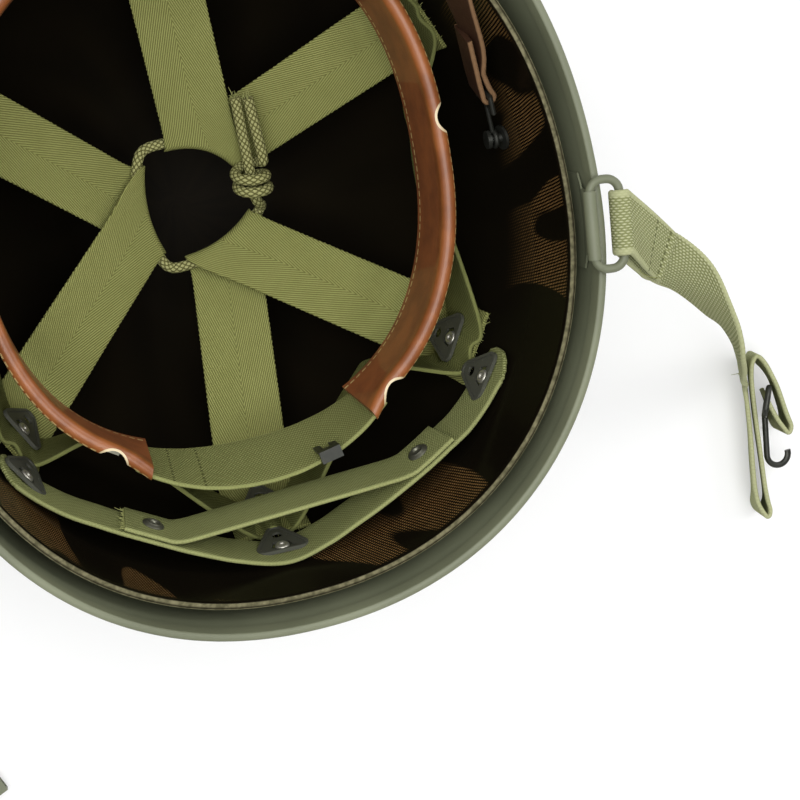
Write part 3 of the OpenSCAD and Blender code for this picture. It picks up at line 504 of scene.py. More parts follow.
def curve(points, n=12, loop=False):
    """Catmull-Rom curve through rows of numbers, n steps between two of them."""
    p = np.asarray(points, float)
    p = np.vstack([p[-1:], p, p[:2]]) if loop else np.vstack([p[:1], p, p[-1:]])
    f = (np.arange(n) / n)[None, :, None]
    a, b, c, d = (p[k:len(p) - 3 + k][:, None] for k in range(4))
    run = 0.5 * (2 * b + (c - a) * f + (2 * a - 5 * b + 4 * c - d) * f ** 2
                 + (3 * b - a - 3 * c + d) * f ** 3)
    run = run.reshape(-1, p.shape[1])
    return run if loop else np.vstack([run, p[-1:]])


def soften(rows, width):
    """Running mean of rows over a number of them, the ends held."""
    half = width // 2
    padded = np.vstack([np.repeat(rows[:1], half, 0), rows, np.repeat(rows[-1:], half, 0)])
    total = np.cumsum(np.vstack([np.zeros((1, rows.shape[1])), padded]), 0)
    return (total[2 * half + 1:] - total[:-2 * half - 1]) / (2 * half + 1)


def ribbon(mid, side, face, half, thick, across=10, wave=0.0, pitch=1.2, loop=False, zero=0):
    """Flat strip with round edges: at each station the middle, the directions across and out of
    it, half its width and its thickness. The selvedge waves by wave mm every pitch mm, and u is
    0 at the station named zero."""
    m = len(mid)
    half, thick = np.broadcast_to(half, m), np.broadcast_to(thick, m)
    u_all = walked(np.vstack([mid, mid[:1]]) if loop else mid)
    u_all = u_all - u_all[zero]
    u = u_all[:m]
    lines = np.linspace(-1, 1, across)
    bend = np.array([60.0, 30.0, 0.0, -30.0, -60.0])
    flat = np.concatenate([lines, np.ones(5), lines[::-1], -np.ones(5)])
    lift = np.concatenate([np.ones(across), sin(bend), -np.ones(across), -sin(bend)])
    out = np.concatenate([np.zeros(across), cos(bend), np.zeros(across), -cos(bend)])
    body = (half - thick / 2)[:, None]
    ripple = wave * np.sin(2 * np.pi * u / pitch)[:, None] * np.sign(flat) * (np.abs(flat) > 0.99)
    x = flat * body + out * thick[:, None] / 2 + ripple
    y = lift * thick[:, None] / 2
    rings = mid[:, None] + side[:, None] * x[..., None] + face[:, None] * y[..., None]
    over = np.vstack([x, x[:1]])[:len(u_all)]
    over = np.hstack([over, over[:, :1]])
    return rings, np.stack([np.broadcast_to(u_all[:, None], over.shape), over], -1)


def strip(rows, half, thick, **more):
    """Ribbon along rows of middle and direction across, its face square to both."""
    mid, side, loop = rows[:, :3], unit(rows[:, 3:]), more.get("loop", False)
    face = unit(np.cross(side, heading(mid, loop)))
    rings, uv = ribbon(mid, side, face, half, thick, **more)
    return skin(rings, uv, loop)


def route_frame(route):
    """Middle and side direction of a route of rows x, y, z and roll: the roll turns the strip
    from level, at 0, to on edge, at 90."""
    mid, turn = route[:, :3], route[:, 3]
    way = heading(mid)
    level = unit(np.cross((0, 0, 1), way))
    upright = np.cross(way, level)
    return mid, unit(level * cos(turn)[:, None] + upright * sin(turn)[:, None])


def plain_weave(name, deep, high, half, row_w, stitch, thread_and_shade_lines=()):
    """Plain-woven cotton webbing: rows of short stitches that overlap like bricks, smoother at the
    selvedges, half from its middle, and dark dashed lines across it at the given places along it:
    rows of sewn thread on the adjusting strap, and painted shade beside the hem's ridge on the
    chinstraps."""
    cloth = Finish(name, Roughness=0.92, Specular_IOR_Level=0.12)
    u, v = cloth.along()
    lane = v * (1 / row_w)
    inside = lane.fract() - 0.5
    shift = lane.floor().abs().modulo(2.0) * 0.5
    knot = (u * (1 / stitch) + shift).fract() - 0.5
    fuzz = cloth.noise(cloth.point(u, v), 2.2, 3.0, 0.7)
    weave = (1.0 - (inside * inside * 3.2 + knot * knot * 2.6) + fuzz * 0.5 - 0.25).step(0.35, 1.0)
    selvedge = v.abs().step(half - 1.3, half - 0.5)
    weave = weave - selvedge * (weave - 0.7) * 0.8
    cloud = cloth.noise(cloth.point(u, v), 0.12, 2.0)
    tint = cloth.blend(cloud, high, tuple(0.86 * c for c in high[:3]) + (1.0,))
    tint = cloth.blend(weave, deep, tint)
    # Dark dashes across the strip at each given place: sewn thread on the adjusting strap, painted shade
    # beside the hem's ridge on the chinstraps.
    for seam in thread_and_shade_lines:
        stitch_and_shade_line = (1.0 - (u - seam).abs().step(0.25, 0.6)) * (v * 2.6).sin().step(-0.3, 0.2)
        tint = cloth.blend(stitch_and_shade_line, tint, tuple(0.6 * c for c in deep[:3]) + (1.0,))
    cloth.feed("Base Color", tint)
    cloth.bump(weave, 0.4, 0.8)
    return cloth


# Painted shade: the two dark dashed lines across each chinstrap's end stand in for the shade on either
# side of the turned-in hem's ridge.
hem_shade_lines = (4.2, 12.5)
strap_cloth = plain_weave("strap_cloth", tone(128, 132, 88), tone(186, 188, 148), strap_w / 2, 0.9, 1.7,
                          hem_shade_lines)
slope = np.array([cos(fall), 0, -sin(fall)])
rise = np.array([sin(fall), 0, cos(fall)])
flap = unit([0.670, -0.516, -0.535])
bar = np.array([bail_reach, 0, 0])
lay = np.linspace(lay_len, 6, 5)[:, None]
turn = np.arange(0, 181, 15)[:, None]
wrap = np.concatenate([bar + flap * lay + rise * bar_gap * (1 - 0.45 * lay / lay_len),
                       bar + rise * bar_gap * cos(turn) - slope * bar_gap * sin(turn),
                       bar + flap * lay[:0:-1] - rise * bar_gap * (1 - 0.45 * lay[:0:-1] / lay_len)])
sheared = np.concatenate([lay / lay_len, 0 * turn, lay[:0:-1] / lay_len])
wrap_side = unit(np.array([0.0, 1, 0]) * (1 - sheared) + unit([0.29, 0.886, 0.37]) * sheared)
wrap_half = strap_w / 2 + 1.5 * (1 - sheared)
right_route = [
    (145.3, -40.4, 160, 11), (155.2, -49, 155, 42), (162.6, -59.5, 151, 70), (169.6, -71.4, 147, 92),
    (172.6, -77.2, 143.5, 114), (177.8, -83.1, 134, 131), (185.1, -88.8, 118, 146),
    (197.6, -95.6, 90, 151), (210.9, -103.3, 60, 152), (222.5, -110.3, 34, 148),
    (230.5, -116.5, 17, 132), (233.6, -126, 10.5, 116), (232.9, -145.7, 10, 114),
    (231.6, -160, 10, 113), (230.8, -172, 10, 112), (230.8, -180, 10, 104), (233, -184, 10, 82),
    (235.4, -180, 10, 70), (235.7, -169.5, 10, 67), (236, -155, 10, 67), (236.3, -140, 10, 67),
    (237.2, -121, 10, 67), (237.9, -114.6, 10.5, 72), (239.8, -112.6, 11, 84), (241.8, -115.9, 12, 98),
    (245.7, -125.3, 13, 106), (248.1, -137.4, 13, 106), (248.9, -144.6, 13, 104), (246.8, -148, 13, 96),
    (244.8, -145, 13, 82), (243.2, -139, 13, 74), (240.9, -130.5, 13, 70)]
left_route = [
    (150, -44, 153, 12), (163, -60, 128, 10), (172, -78, 94, 5), (175, -96, 58, 0),
    (172, -116, 26, 0), (166, -136, 7, 0), (158.5, -156, 3.6, 0), (147, -181, 3.2, 0),
    (135.5, -206, 3.2, 0), (126, -226.6, 3.2, 0)]


def chinstrap(side, route):
    """The wrap round the bail bar, joined to the route, with points at even steps. Its end is
    thicker where the hem is turned in, by a bell 2 mm from the end."""
    head = at_bail(wrap, 1)
    mid, across = route_frame(curve(route, 10))
    half = np.concatenate([wrap_half, np.full((len(mid), 1), strap_w / 2)])
    mid = np.vstack([head, mid])
    across = np.vstack([turn_z(wrap_side, -bail_yaw), across])
    step = 0.45
    rows = even(np.hstack([mid, across, half]), step)
    mid, across, half = rows[:, :3], unit(soften(rows[:, 3:6], 25)), rows[:, 6]
    u = np.arange(len(mid)) * step
    turned_in = 2.6
    hem = turned_in * np.exp(-((u - 2.0) / 1.7) ** 4)
    flip = np.array([side, 1, 1])
    return strip(np.hstack([mid * flip, across * flip]), half, strap_t + hem, wave=0.05, pitch=1.35,
                 across=14)


for side, route, word in ((1, right_route, "right"), (-1, left_route, "left")):
    piece(f"chinstrap_{word}_webbing", chinstrap(side, route), strap_cloth, f"strap_{word}",
          "strap_webbing", f"chinstrap_{word}")


# The hook at the end of the right strap: blackened steel wire 2.6 mm thick, bent to a long eye
# round the strap, with a shank and an open crook whose end is hammered flat.
hook_wire = 2.6
hook_eye = 12.2
eye_corner = 3.0
hook_at = np.array([241.5, -134.1, 13.0])
hook_dir = -108.7
hook_lean = unit([-0.39, 0.24, 0.89])
shank_len = 18.0
shank_turn = 13.0
crook_r = 5.0
eye_half = strap_w / 2 + 0.4 + hook_wire / 2


def at_hook(p):
    """Hook coordinates to the helmet's: x and y turned by hook_dir, z along hook_lean."""
    return turn_z(p * (1, 1, 0), hook_dir) + p[..., 2:] * hook_lean + hook_at


dark_steel = Finish("dark_steel", Base_Color=tone(52, 53, 48), Metallic=0.55, Specular_IOR_Level=0.5)
at = dark_steel.place()
worn = dark_steel.noise(at, 0.35, 3.0)
dark_steel.feed("Roughness", worn.step(0.3, 0.75) * 0.25 + 0.3)
dark_steel.bump(dark_steel.noise(at, 1.2, 2.0), 0.08, 0.3)

eye = rounded([(-hook_eye / 2, 0, -eye_half), (hook_eye / 2, 0, -eye_half),
               (hook_eye / 2, 0, eye_half), (-hook_eye / 2, 0, eye_half)], eye_corner)
g = np.linspace(-90, 105, 24)
crook = np.stack([shank_len + crook_r * cos(g), crook_r + crook_r * sin(g), 0 * g], -1)
stem = even(turn_z(np.vstack([(0, 0, 0), crook]), shank_turn) + (hook_eye / 2, 0, 0), 0.6)
grow = np.linspace(0, 1, len(stem))
parts = tube(at_hook(even(eye, 0.6, True)), hook_wire, 16, True)
parts += tube(at_hook(stem), hook_wire * (1 + 0.35 * np.clip(grow - 0.6, 0, 1)), 16,
              flat=1 - 0.45 * np.clip(grow * 2 - 1.1, 0, 1))
piece("chin_hook_wire", parts, dark_steel, "hook", "blackened_steel", "chin_hook")

dress(dark_steel, "blackened_steel", "chin_buckle")


# The liner shell: cotton duck in overlapping gores, soaked with dark resin, moulded 2.4 mm
# thick and trimmed raw at its edge. The resin is nearly black, and where it is thin the brown
# weave shows through. The outside is painted olive, and marks tell it and the raw edge apart.
liner_edge = dict(w=112.6, f=132.0, r=121.0)
liner_high = dict(side=168.0, front=146.0, rear=158.0)
liner_t = 2.4
liner_low = 1.4


def liner_point(a, t, d):
    """Like the shell without its flare, resting just above the shell's crown."""
    return bowl(a, t, d, liner_edge, liner_high, liner_low)


def liner_at(a, z):
    """Inside face of the liner at height z."""
    return liner_point(a, share_up(z, liner_low + liner_t, edge_height(a, **liner_high)), liner_t)


resin = Finish("liner_resin", Specular_IOR_Level=0.02)
at = resin.place()
azimuth, depth = resin.along()
warp = resin.noise(at, 0.05, 2.0)
thread_pitch = 1.15
thread_a = ((azimuth + depth * 0.35 + warp * 1.2) * (np.pi / thread_pitch)).sin()
thread_b = ((depth - azimuth * 0.35 + warp * 1.2) * (np.pi / thread_pitch)).sin()
dots = (thread_a * thread_a * thread_b * thread_b).step(0.18, 0.75)
near_edge = (depth * -1.0 + 42.0).step(0.0, 26.0)
patchy = resin.noise(resin.point((azimuth + depth * 0.3) * 0.044, depth * 0.018), 1.0, 0.5, 0.5)
bare_cloth = patchy.step(0.5, 0.53) * near_edge * depth.step(1.0, 3.0)
ochre = resin.blend(resin.noise(at, 0.3, 2.0), tone(104, 76, 42), tone(170, 132, 80))
dark = resin.blend(patchy, tone(13, 11, 7), tone(24, 20, 12))
shown = resin.blend(dots * bare_cloth, dark, ochre)
raw = resin.blend(resin.noise(at, 0.5, 3.0).step(0.3, 0.7), tone(82, 79, 58), tone(122, 117, 90))
inside = resin.blend(resin.mark(), shown, raw)
painted = resin.mark().step(1.4, 1.8)
resin.feed("Base Color", resin.blend(painted, inside, tone(86, 90, 66)))
resin.feed("Roughness", (resin.mark() * 0.3 - near_edge * 0.24 + 0.46).most(0.22 + painted * 0.4))
resin.bump(dots * bare_cloth + resin.noise(at, 0.03, 2.0) * 0.4, 0.1, 0.3)

seam = 90 + np.append(around, 360)
ring_az = seam[:-1]
t_in = np.linspace(0.02, 1, 110)[:, None]
lip = [liner_point(ring_az, np.ones((1, 1)), d) + (0, 0, up)
       for d, up in ((0.5, 0.35), (1.2, 0.35), (2.0, 0.35), (liner_t - 0.1, 0.2))]
liner_rings = np.concatenate([liner_point(ring_az, t_in, 0.0), *lip,
                              liner_point(ring_az, t_in[::-1], liner_t)])
t_all = np.concatenate([t_in, np.repeat(t_in[-1:], 4, 0), t_in[::-1]])[:, 0]
liner_uv = np.stack(np.broadcast_arrays((seam - 90)[None] * 2.0, (1 - t_all)[:, None] * 200.0), -1)
painted_mark = 2
raw_mark = 1
edge_mark = np.zeros(liner_rings.shape[:2])
edge_mark[:len(t_in)] = painted_mark
edge_mark[len(t_in) + 1:len(t_in) + 3] = raw_mark
piece("liner_shell_skin", skin(liner_rings, liner_uv, marks=edge_mark), resin, "liner",
      "liner_resin", "liner_shell")


# The headband webbing: a band of olive cotton 24 mm wide that runs round inside the liner. It
# lies on the wall at the six washers and stands off it between them, where the sweatband clips
# hang on its upper edge.
wash_z = 98.0
washer_az = (90, 35, 145, 215, 270, 325)
clip_az = (6, 60, 120, 174, 240.5, 302.5)
web_off = 2.133
band_off = 4.583
band_rest = 3.35
clip_half = 3.6
band_w = 24.0
band_t = 1.6
sweat_w = 82.0
sweat_l = 92.5


def wall_frame(a, z):
    """Directions along, up and out of the inside face of the liner."""
    side = unit(liner_at(a + 1, wash_z) - liner_at(a - 1, wash_z))
    up = unit(liner_at(a, z + 2) - liner_at(a, z - 2))
    return side, up, unit(np.cross(up, side))


def wall_point(a, z, off):
    """Point at a distance inward from the inside face of the liner."""
    return liner_at(a, z) + wall_frame(a, z)[2] * np.asarray(off, float)[..., None]


def sweat_point(a, z, off):
    """Ring of the sweatband: (|cos a|/w)^2.4 + (|sin a|/l)^2.4 = 1, narrower behind, off outward."""
    a, z, off = np.broadcast_arrays(a, z, off)
    r = (np.abs(cos(a) / sweat_w) ** 2.4 + np.abs(sin(a) / sweat_l) ** 2.4) ** (-1 / 2.4) + off
    return np.stack([r * cos(a) - 3 * np.maximum(0, -sin(a)) ** 2 - 2.5, r * sin(a) + 12, z], -1)


def sweat_out(a):
    """Direction out of the sweatband's ring."""
    return np.cross(unit(sweat_point(a + 1, 0, 0) - sweat_point(a - 1, 0, 0)), (0, 0, 1))


def at_clip(a):
    """Knot of the headband at a clip: on the sweatband's ring, band_rest outside it, upright."""
    return [np.concatenate([sweat_point(a, wash_z, band_rest), (0, 0, 1)])]


def clipped(a):
    """Knots clip_half degrees to each side of a clip."""
    return at_clip(a - clip_half) + at_clip(a + clip_half)


def riveted(a):
    """Three knots along the wall at a washer, 10 mm apart and band_off inward."""
    side, up, _ = wall_frame(a, wash_z)
    foot = wall_point(a, wash_z, band_off)
    return [np.concatenate([foot + side * q, up]) for q in (-10, 0, 10)]


def webbing(name, parts, cloth, *nodes):
    """A piece of the liner's webbing."""
    piece(name, parts, cloth, "liner", "liner_webbing", *nodes)


band_cloth = plain_weave("headband_cloth", tone(82, 86, 44), tone(140, 144, 88), band_w / 2, 0.7, 1.1)
knots = (at_clip(-11) + clipped(6) + riveted(35) + clipped(60) + riveted(90) + clipped(120)
         + riveted(145) + clipped(174) + at_clip(190) + riveted(215) + clipped(240.5)
         + riveted(270) + clipped(302.5) + riveted(325))
rows = even(curve(knots, 12, True), 1.0, True)
webbing("headband_webbing_band", strip(rows, band_w / 2, band_t, loop=True), band_cloth,
        "headband_webbing")


# The crown webs: three olive straps 28 mm wide in herringbone weave. Each is laid from one
# washer to the crown ring, folded round the tie cord and back out to the next washer, where
# its end is left frayed.
web_w = 28.0
web_t = 1.4
cord_w = 4.2
ring_at = np.array([2.0, 3.0, 45.0])
ring_reach = 18.5
fold_gap = cord_w / 2 + 0.3 + web_t / 2
fold_bow = {"front": 7.0, "left": 4.0, "rear": 3.4}
web_foot_z = wash_z - 17
webs = {"front": (62.5, 90, 35), "left": (180, 215, 145), "rear": (297.5, 325, 270)}


def web_fold(mid, start, end):
    """Place of a fold, and its directions across, outward and up."""
    at = ring_at + ring_reach * np.array([cos(mid), sin(mid), 0])
    go, back = (unit(wall_point(a, web_foot_z, web_off) - at) for a in (start, end))
    across, out = unit(go - back), unit(go + back)
    up = np.cross(across, out)
    return at, across, out, up * np.sign(up[2])


def web_leg(fold, a, s):
    """Stations of a leg from the fold to its washer: middle, side, face and half width. Side and
    face turn by shares from the fold's to those of the wall."""
    at, across, _, up = fold
    foot = wall_point(a, web_foot_z, web_off)
    way = unit(foot - at)
    square = unit(np.cross(up, way))
    square = square * np.sign(square @ across)
    lay, _, inward = wall_frame(a, wash_z)
    lay = lay * np.sign(lay @ square)
    start = at + up * fold_gap * s
    rows = [(start, across, up * s, web_w / 2 / (across @ square)),
            (start + way * 11, square, up * s, web_w / 2)]
    for share, by_side, by_face in ((0.55, 0.3, 0.1), (0.8, 0.7, 0.3), (0.93, 0.9, 0.5)):
        rows.append((start + (foot - start) * share, square * (1 - by_side) + lay * by_side,
                     (up * (1 - by_face) + inward * by_face) * s, web_w / 2))
    for z in (web_foot_z, wash_z - 10, wash_z, wash_z + 13):
        rows.append((wall_point(a, z, web_off), lay, wall_frame(a, z)[2] * s, web_w / 2))
    return [np.concatenate([p, q, r, [h]]) for p, q, r, h in rows]


def crown_web(mid, start, end):
    """Even stations from one washer, half round the cord at fold_gap, to the other washer."""
    fold = web_fold(mid, start, end)
    at, across, out, up = fold
    go, back = web_leg(fold, start, 1), web_leg(fold, end, -1)
    turn = [np.concatenate([at + v * fold_gap, across, v, go[0][9:]])
            for v in (up * cos(g) - out * sin(g) for g in range(20, 161, 20))]
    step = 0.7
    rows = even(np.array(go[::-1] + turn + back), step)
    off = rows[:, :3] - at
    zero = int(np.argmin(np.linalg.norm(off, axis=1) + 9 * np.abs(off @ up)))
    far = np.clip((np.abs(np.arange(len(rows)) - zero) * step - 8) / 12, 0, 1)[:, None]
    rows = soften(rows, 5) * (1 - far) + soften(rows, 19) * far
    return rows, zero, out


def threads(starts, ways, length, width, seed):
    """Loose yarn ends: thin tubes from the given places, along one way or one for each, that
    bend with the square of their run."""
    rng = np.random.default_rng(seed)
    parts = []
    for at, way in zip(starts, np.broadcast_to(ways, starts.shape)):
        long = length * rng.uniform(0.4, 1.2)
        bend = rng.normal(0, 0.35, 3) * long
        f = np.linspace(0, 1, 5)[:, None]
        parts += tube(at + way * long * f + bend * f ** 2, width * (1 - 0.5 * f[:, 0]), 6)
    return parts


herring = Finish("herringbone_cloth", Roughness=0.9, Specular_IOR_Level=0.12)
u, v = herring.along()
fuzz = herring.noise(herring.point(u, v), 1.6, 3.0, 0.65)
rib_pitch = 0.84
rib = ((v.abs() * 0.94 + u.abs() * 0.342 + fuzz * 0.22) * (np.pi / rib_pitch)).sin()
rib = (rib * rib).step(0.05, 0.75)
spine = v.abs().step(0.0, 0.7)
weave = rib * (spine * 0.14 + 0.86)
cloud = herring.noise(herring.point(u, v), 0.08, 2.0)
high = herring.blend(cloud, tone(140, 143, 84), tone(156, 159, 98))
herring.feed("Base Color", herring.blend(weave, tone(106, 107, 58), high))
herring.bump(weave + fuzz * 0.3, 0.3, 0.7)

yarn = Finish("loose_yarn", Base_Color=tone(146, 149, 94), Roughness=0.95, Specular_IOR_Level=0.1)
for word, azimuths in webs.items():
    rows, zero, out = crown_web(*azimuths)
    side, face = unit(rows[:, 3:6]), unit(rows[:, 6:9])
    rings, uv = ribbon(rows[:, :3], side, face, rows[:, 9], web_t, wave=0.16, pitch=1.1, across=16,
                       zero=zero)
    away = np.abs(uv[:, :-1, 0]) / 34
    share = uv[:, :-1, 1] / rows[:, 9:10]
    rings = rings + out * (fold_bow[word] * np.clip(1 - away, 0, 1) ** 1.6 * (1 - share ** 2))[..., None]
    webbing(f"crown_web_{word}_strap", skin(rings, uv), herring, f"crown_web_{word}")
    for end, away_from in ((0, 1), (-1, -2)):
        spread = np.linspace(-1, 1, 38)[:, None] * (web_w / 2 - 0.6)
        starts = rows[end, :3] + side[end] * spread
        way = unit(rows[end, :3] - rows[away_from, :3])
        webbing(f"crown_web_{word}_fray_{'outer' if end else 'first'}",
                threads(starts, way, 1.7, 0.34, int(azimuths[0]) + end), yarn)


# The tie cord: braided olive cord 4.2 mm thick. It runs through the three folds, is knotted
# to itself over the front right web and ends in a doubled, frayed tail.
hold = 17.2
wind_from = 5.4
wind_pitch = 5.2
wind_room = 1.8
knot_at = np.array([25.4, -1.5, 53.0])
tail_at = np.array([22.4, 41.0, 66.3])


def sweep(before, after):
    """Bezier bend from the end of one run to the start of the next, in line with both."""
    p, q = before[-1], after[0]
    f = (np.arange(1, 12) / 12)[:, None]
    g, reach = 1 - f, 0.42 * np.linalg.norm(q - p) + 2
    lead, trail = p + unit(p - before[-2]) * reach, q - unit(after[1] - q) * reach
    return p * g ** 3 + lead * 3 * g * g * f + trail * 3 * g * f * f + q * f ** 3


def fold_pass(word):
    """The cord's way through a fold, straight but for a bow that goes as 1 - f^2."""
    at, across, out, _ = web_fold(*webs[word])
    mid = webs[word][0]
    ahead = across * np.sign(across @ (cos(mid + 90), sin(mid + 90), 0))
    f = np.linspace(-1, 1, 9)[:, None]
    return at - ahead * hold * f + out * fold_bow[word] * (1 - f ** 2)


tail_dir = unit(tail_at - knot_at)
tail_side = unit(np.cross(tail_dir, (0, 0, 1)))
tail_up = np.cross(tail_side, tail_dir)
g = np.arange(0, 721, 20)[:, None]
wind = (knot_at + tail_dir * (wind_from + wind_pitch * g / 360)
        + (tail_side * cos(g) + tail_up * sin(g)) * (cord_w + wind_room))
cord_path = np.array([tail_at, (knot_at + tail_at) / 2, knot_at + (tail_at - knot_at) * 0.1])
for run in (*(fold_pass(word) for word in ("rear", "left", "front")), wind):
    cord_path = np.vstack([cord_path, sweep(cord_path, run), run])
cord_path = np.vstack([cord_path, wind[-1] + tail_dir * 4 + tail_up * 0.4,
                       tail_at + tail_side * (cord_w + 0.55) - tail_dir * 1.5])
cord_path = soften(even(cord_path, 0.5), 7)

braid = Finish("braided_cord", Roughness=0.9, Specular_IOR_Level=0.12)
u, v = braid.along()
one = ((v * 3.0 + u * 0.19) * (2 * np.pi)).sin()
two = ((v * 3.0 - u * 0.19) * (2 * np.pi)).sin()
strand = (one * two).abs().step(0.03, 0.6)
fuzz = braid.noise(braid.point(u, v * 13.0), 2.0, 3.0)
shade = braid.blend(fuzz, tone(152, 152, 98), tone(180, 179, 126))
braid.feed("Base Color", braid.blend(strand, tone(98, 97, 54), shade))
braid.bump(strand + fuzz * 0.2, 0.5, 0.9)
piece("tie_cord_braid", tube(cord_path, cord_w, 24), braid, "liner", "cord", "tie_cord")
ends = np.repeat(cord_path[[0, -1]], 14, 0) + np.random.default_rng(5).normal(0, 0.9, (28, 3))
piece("tie_cord_fray", threads(ends, tail_dir, 2.2, 0.4, 8), yarn, "liner", "cord")


# The washers: flat steel loops shaped like an A, painted dark grey, with a window for the
# webbing and the point toward the rim. Tubular rivets of bright steel hold them through the
# webbing and the liner wall.
washer_paint = Finish("washer_paint", Roughness=0.55, Specular_IOR_Level=0.4)
at = washer_paint.place()
rubbed = washer_paint.noise(at, 1.1, 3.0).step(0.6, 0.75)
washer_paint.feed("Base Color", washer_paint.blend(rubbed * 0.5, tone(70, 71, 62), tone(116, 116, 104)))
washer_paint.bump(washer_paint.noise(at, 2.0, 2.0), 0.1, 0.4)
bright_steel = Finish("bright_steel", Base_Color=tone(186, 184, 172), Metallic=0.8)
at = bright_steel.place()
bright_steel.feed("Roughness", bright_steel.noise(at, 0.8, 3.0) * 0.3 + 0.22)
bright_steel.bump(bright_steel.noise(at, 1.6, 2.0), 0.08, 0.3)


def lathe(profile, at, axis):
    """Surface turned round an axis through a place: rows of radius and height, open at neither end."""
    axis = unit(axis)
    first = unit(np.cross(axis, np.eye(3)[np.argmin(np.abs(axis))]))
    second = np.cross(axis, first)
    g = np.arange(0, 360, 11.25)
    spoke = first * cos(g)[:, None] + second * sin(g)[:, None]
    profile = np.array(profile)
    rings = at + axis * profile[:, 1, None, None] + spoke * profile[:, 0, None, None]
    return skin(rings)


plate_t = 0.9
plate_off = 5.733
nape_az = (321, 270, 219)
nape_z = 124.0
nape_off = 1.75
nape_plate_off = 3.3
hole_up = 4.6


def copied(name, finish, change):
    """A liner node's solid, merged, with its points in millimetres moved by a function."""
    work = bmesh.new()
    work.from_mesh(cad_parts[name].data)
    bmesh.ops.remove_doubles(work, verts=work.verts, dist=1e-6)
    mesh = bpy.data.meshes.new(name + "_plate")
    work.to_mesh(mesh)
    work.free()
    flat = np.empty(len(mesh.vertices) * 3)
    mesh.vertices.foreach_get("co", flat)
    mesh.vertices.foreach_set("co", change(flat.reshape(-1, 3) * 1000).reshape(-1) * 0.001)
    show(mesh, finish, "liner", "blackened_steel", name)


def point_up(name, a, z, off):
    """A washer turned half round on the wall, so that its point is toward the rim and its hole,
    hole_up above its middle, is at the height of the rivet."""
    middle, inward = wall_point(a, z - hole_up, off), wall_frame(a, z - hole_up)[2]
    copied(name, washer_paint, lambda p: 2 * middle - p + 2 * inward * ((p - middle) @ inward)[:, None])


for a, word in zip(washer_az, ("front", "front_right", "front_left", "rear_left", "rear", "rear_right")):
    point_up(f"washer_{word}", a, wash_z, plate_off)
for a, word in zip(nape_az, ("right", "centre", "left")):
    point_up(f"nape_washer_{word}", a, nape_z, nape_plate_off)

eyelet = [(0.9, -0.4), (0.9, 0.35), (1.2, 0.75), (1.7, 0.9), (2.2, 0.8), (2.55, 0.4), (2.6, 0.0),
          (2.6, -0.4)]
dome = [(0.05, 0.75), (1.2, 0.7), (2.4, 0.5), (3.4, 0.2), (4.0, -0.1), (4.0, -0.4)]


def rivets(azimuths, z, off):
    """Heads of rivets: an eyelet on each washer's plate and a dome on the liner's outer face."""
    parts = []
    for a in azimuths:
        _, up, inward = wall_frame(a, z - hole_up)
        parts += lathe(eyelet, wall_point(a, z - hole_up, off + plate_t + 0.1) + up * hole_up, inward)
        parts += lathe(dome, wall_point(a, z, -liner_t - 0.4), -wall_frame(a, z)[2])
    return parts


for word, places in (("suspension", (washer_az, wash_z, plate_off)),
                     ("nape", (nape_az, nape_z, nape_plate_off))):
    piece(f"{word}_rivet_heads", rivets(*places), bright_steel, "liner", "rivet_steel", f"{word}_rivets")


# The nape band and its strap: olive webbing 19 mm wide, plainly woven. The band hangs between
# three washers with its ends pinked round; the strap lies over it and is held by two snaps.
nape_w = 19.0
nape_t = 1.6
strap_lift = nape_t + 0.45
nape_knots = [(327, 4, 0.3), (321, 0, 0), (312, 1, 2.6), (305, 2, 5.8), (295, 2, 7.4), (285, 1, 5.8),
              (278, 0, 2.6), (270, 0, 0), (261, 0, 3.3), (254, 1, 6.3), (244.5, 1, 7.8), (235, 1, 6.3),
              (228, 0.5, 3.3), (219, 0, 0), (213, 3, 0.3)]
nape_line = curve(nape_knots, 16) + (0, nape_z, nape_off)
nape_step = 0.5


def nape_point(q, lift=0.0):
    """Points on the wall from rows of azimuth, height and distance inward, lifted further in."""
    return wall_point(q[:, 0], q[:, 1], q[:, 2] + lift)


def nape_strip(mid, azimuth):
    """Even middle and side rows of a strip that stands as the wall does."""
    up = wall_frame(azimuth, nape_z)[1]
    return even(np.hstack([mid, square_to(heading(mid), up)]), nape_step)


def pinked(m):
    """Half width near both ends of a strip: sqrt(1 - (1 - near)^2) of its own, less a saw's teeth."""
    tooth = 2.6
    u = np.minimum(np.arange(m), np.arange(m)[::-1]) * nape_step
    near = np.clip(u / (nape_w / 2), 0, 1)
    teeth = np.abs((u / tooth) % 1 - 0.5) * 1.3 * (near < 1)
    return np.maximum(nape_w / 2 * np.sqrt(1 - (1 - near) ** 2) - teeth, 0.5)


nape_cloth = plain_weave("nape_cloth", tone(108, 113, 64), tone(164, 168, 114), nape_w / 2, 0.75, 1.2)
rows = nape_strip(nape_point(nape_line), nape_line[:, 0])
webbing("nape_band_webbing", strip(rows, pinked(len(rows)), nape_t, wave=0.05), nape_cloth, "nape_band")
near, far = nape_line[42:61], nape_line[152:171]
share = np.linspace(0, 1, 34)[1:-1, None]
first, last = nape_point(near, strap_lift), nape_point(far, strap_lift)
middle = first[-1] * (1 - share) + last[0] * share
line = np.vstack([first, middle, last])
azimuth = np.concatenate([near[:, 0], near[-1, 0] + (far[0, 0] - near[-1, 0]) * share[:, 0], far[:, 0]])
rows = nape_strip(soften(line, 5), azimuth)
webbing("nape_strap_webbing", strip(rows, nape_w / 2, nape_t, wave=0.05), nape_cloth, "nape_strap")
starts = rows[-1, :3] + unit(rows[-1, 3:]) * np.linspace(-9, 9, 26)[:, None]
way = unit(rows[-1, :3] - rows[-3, :3])
webbing("nape_strap_fray", threads(starts, way, 1.8, 0.34, 21), yarn)

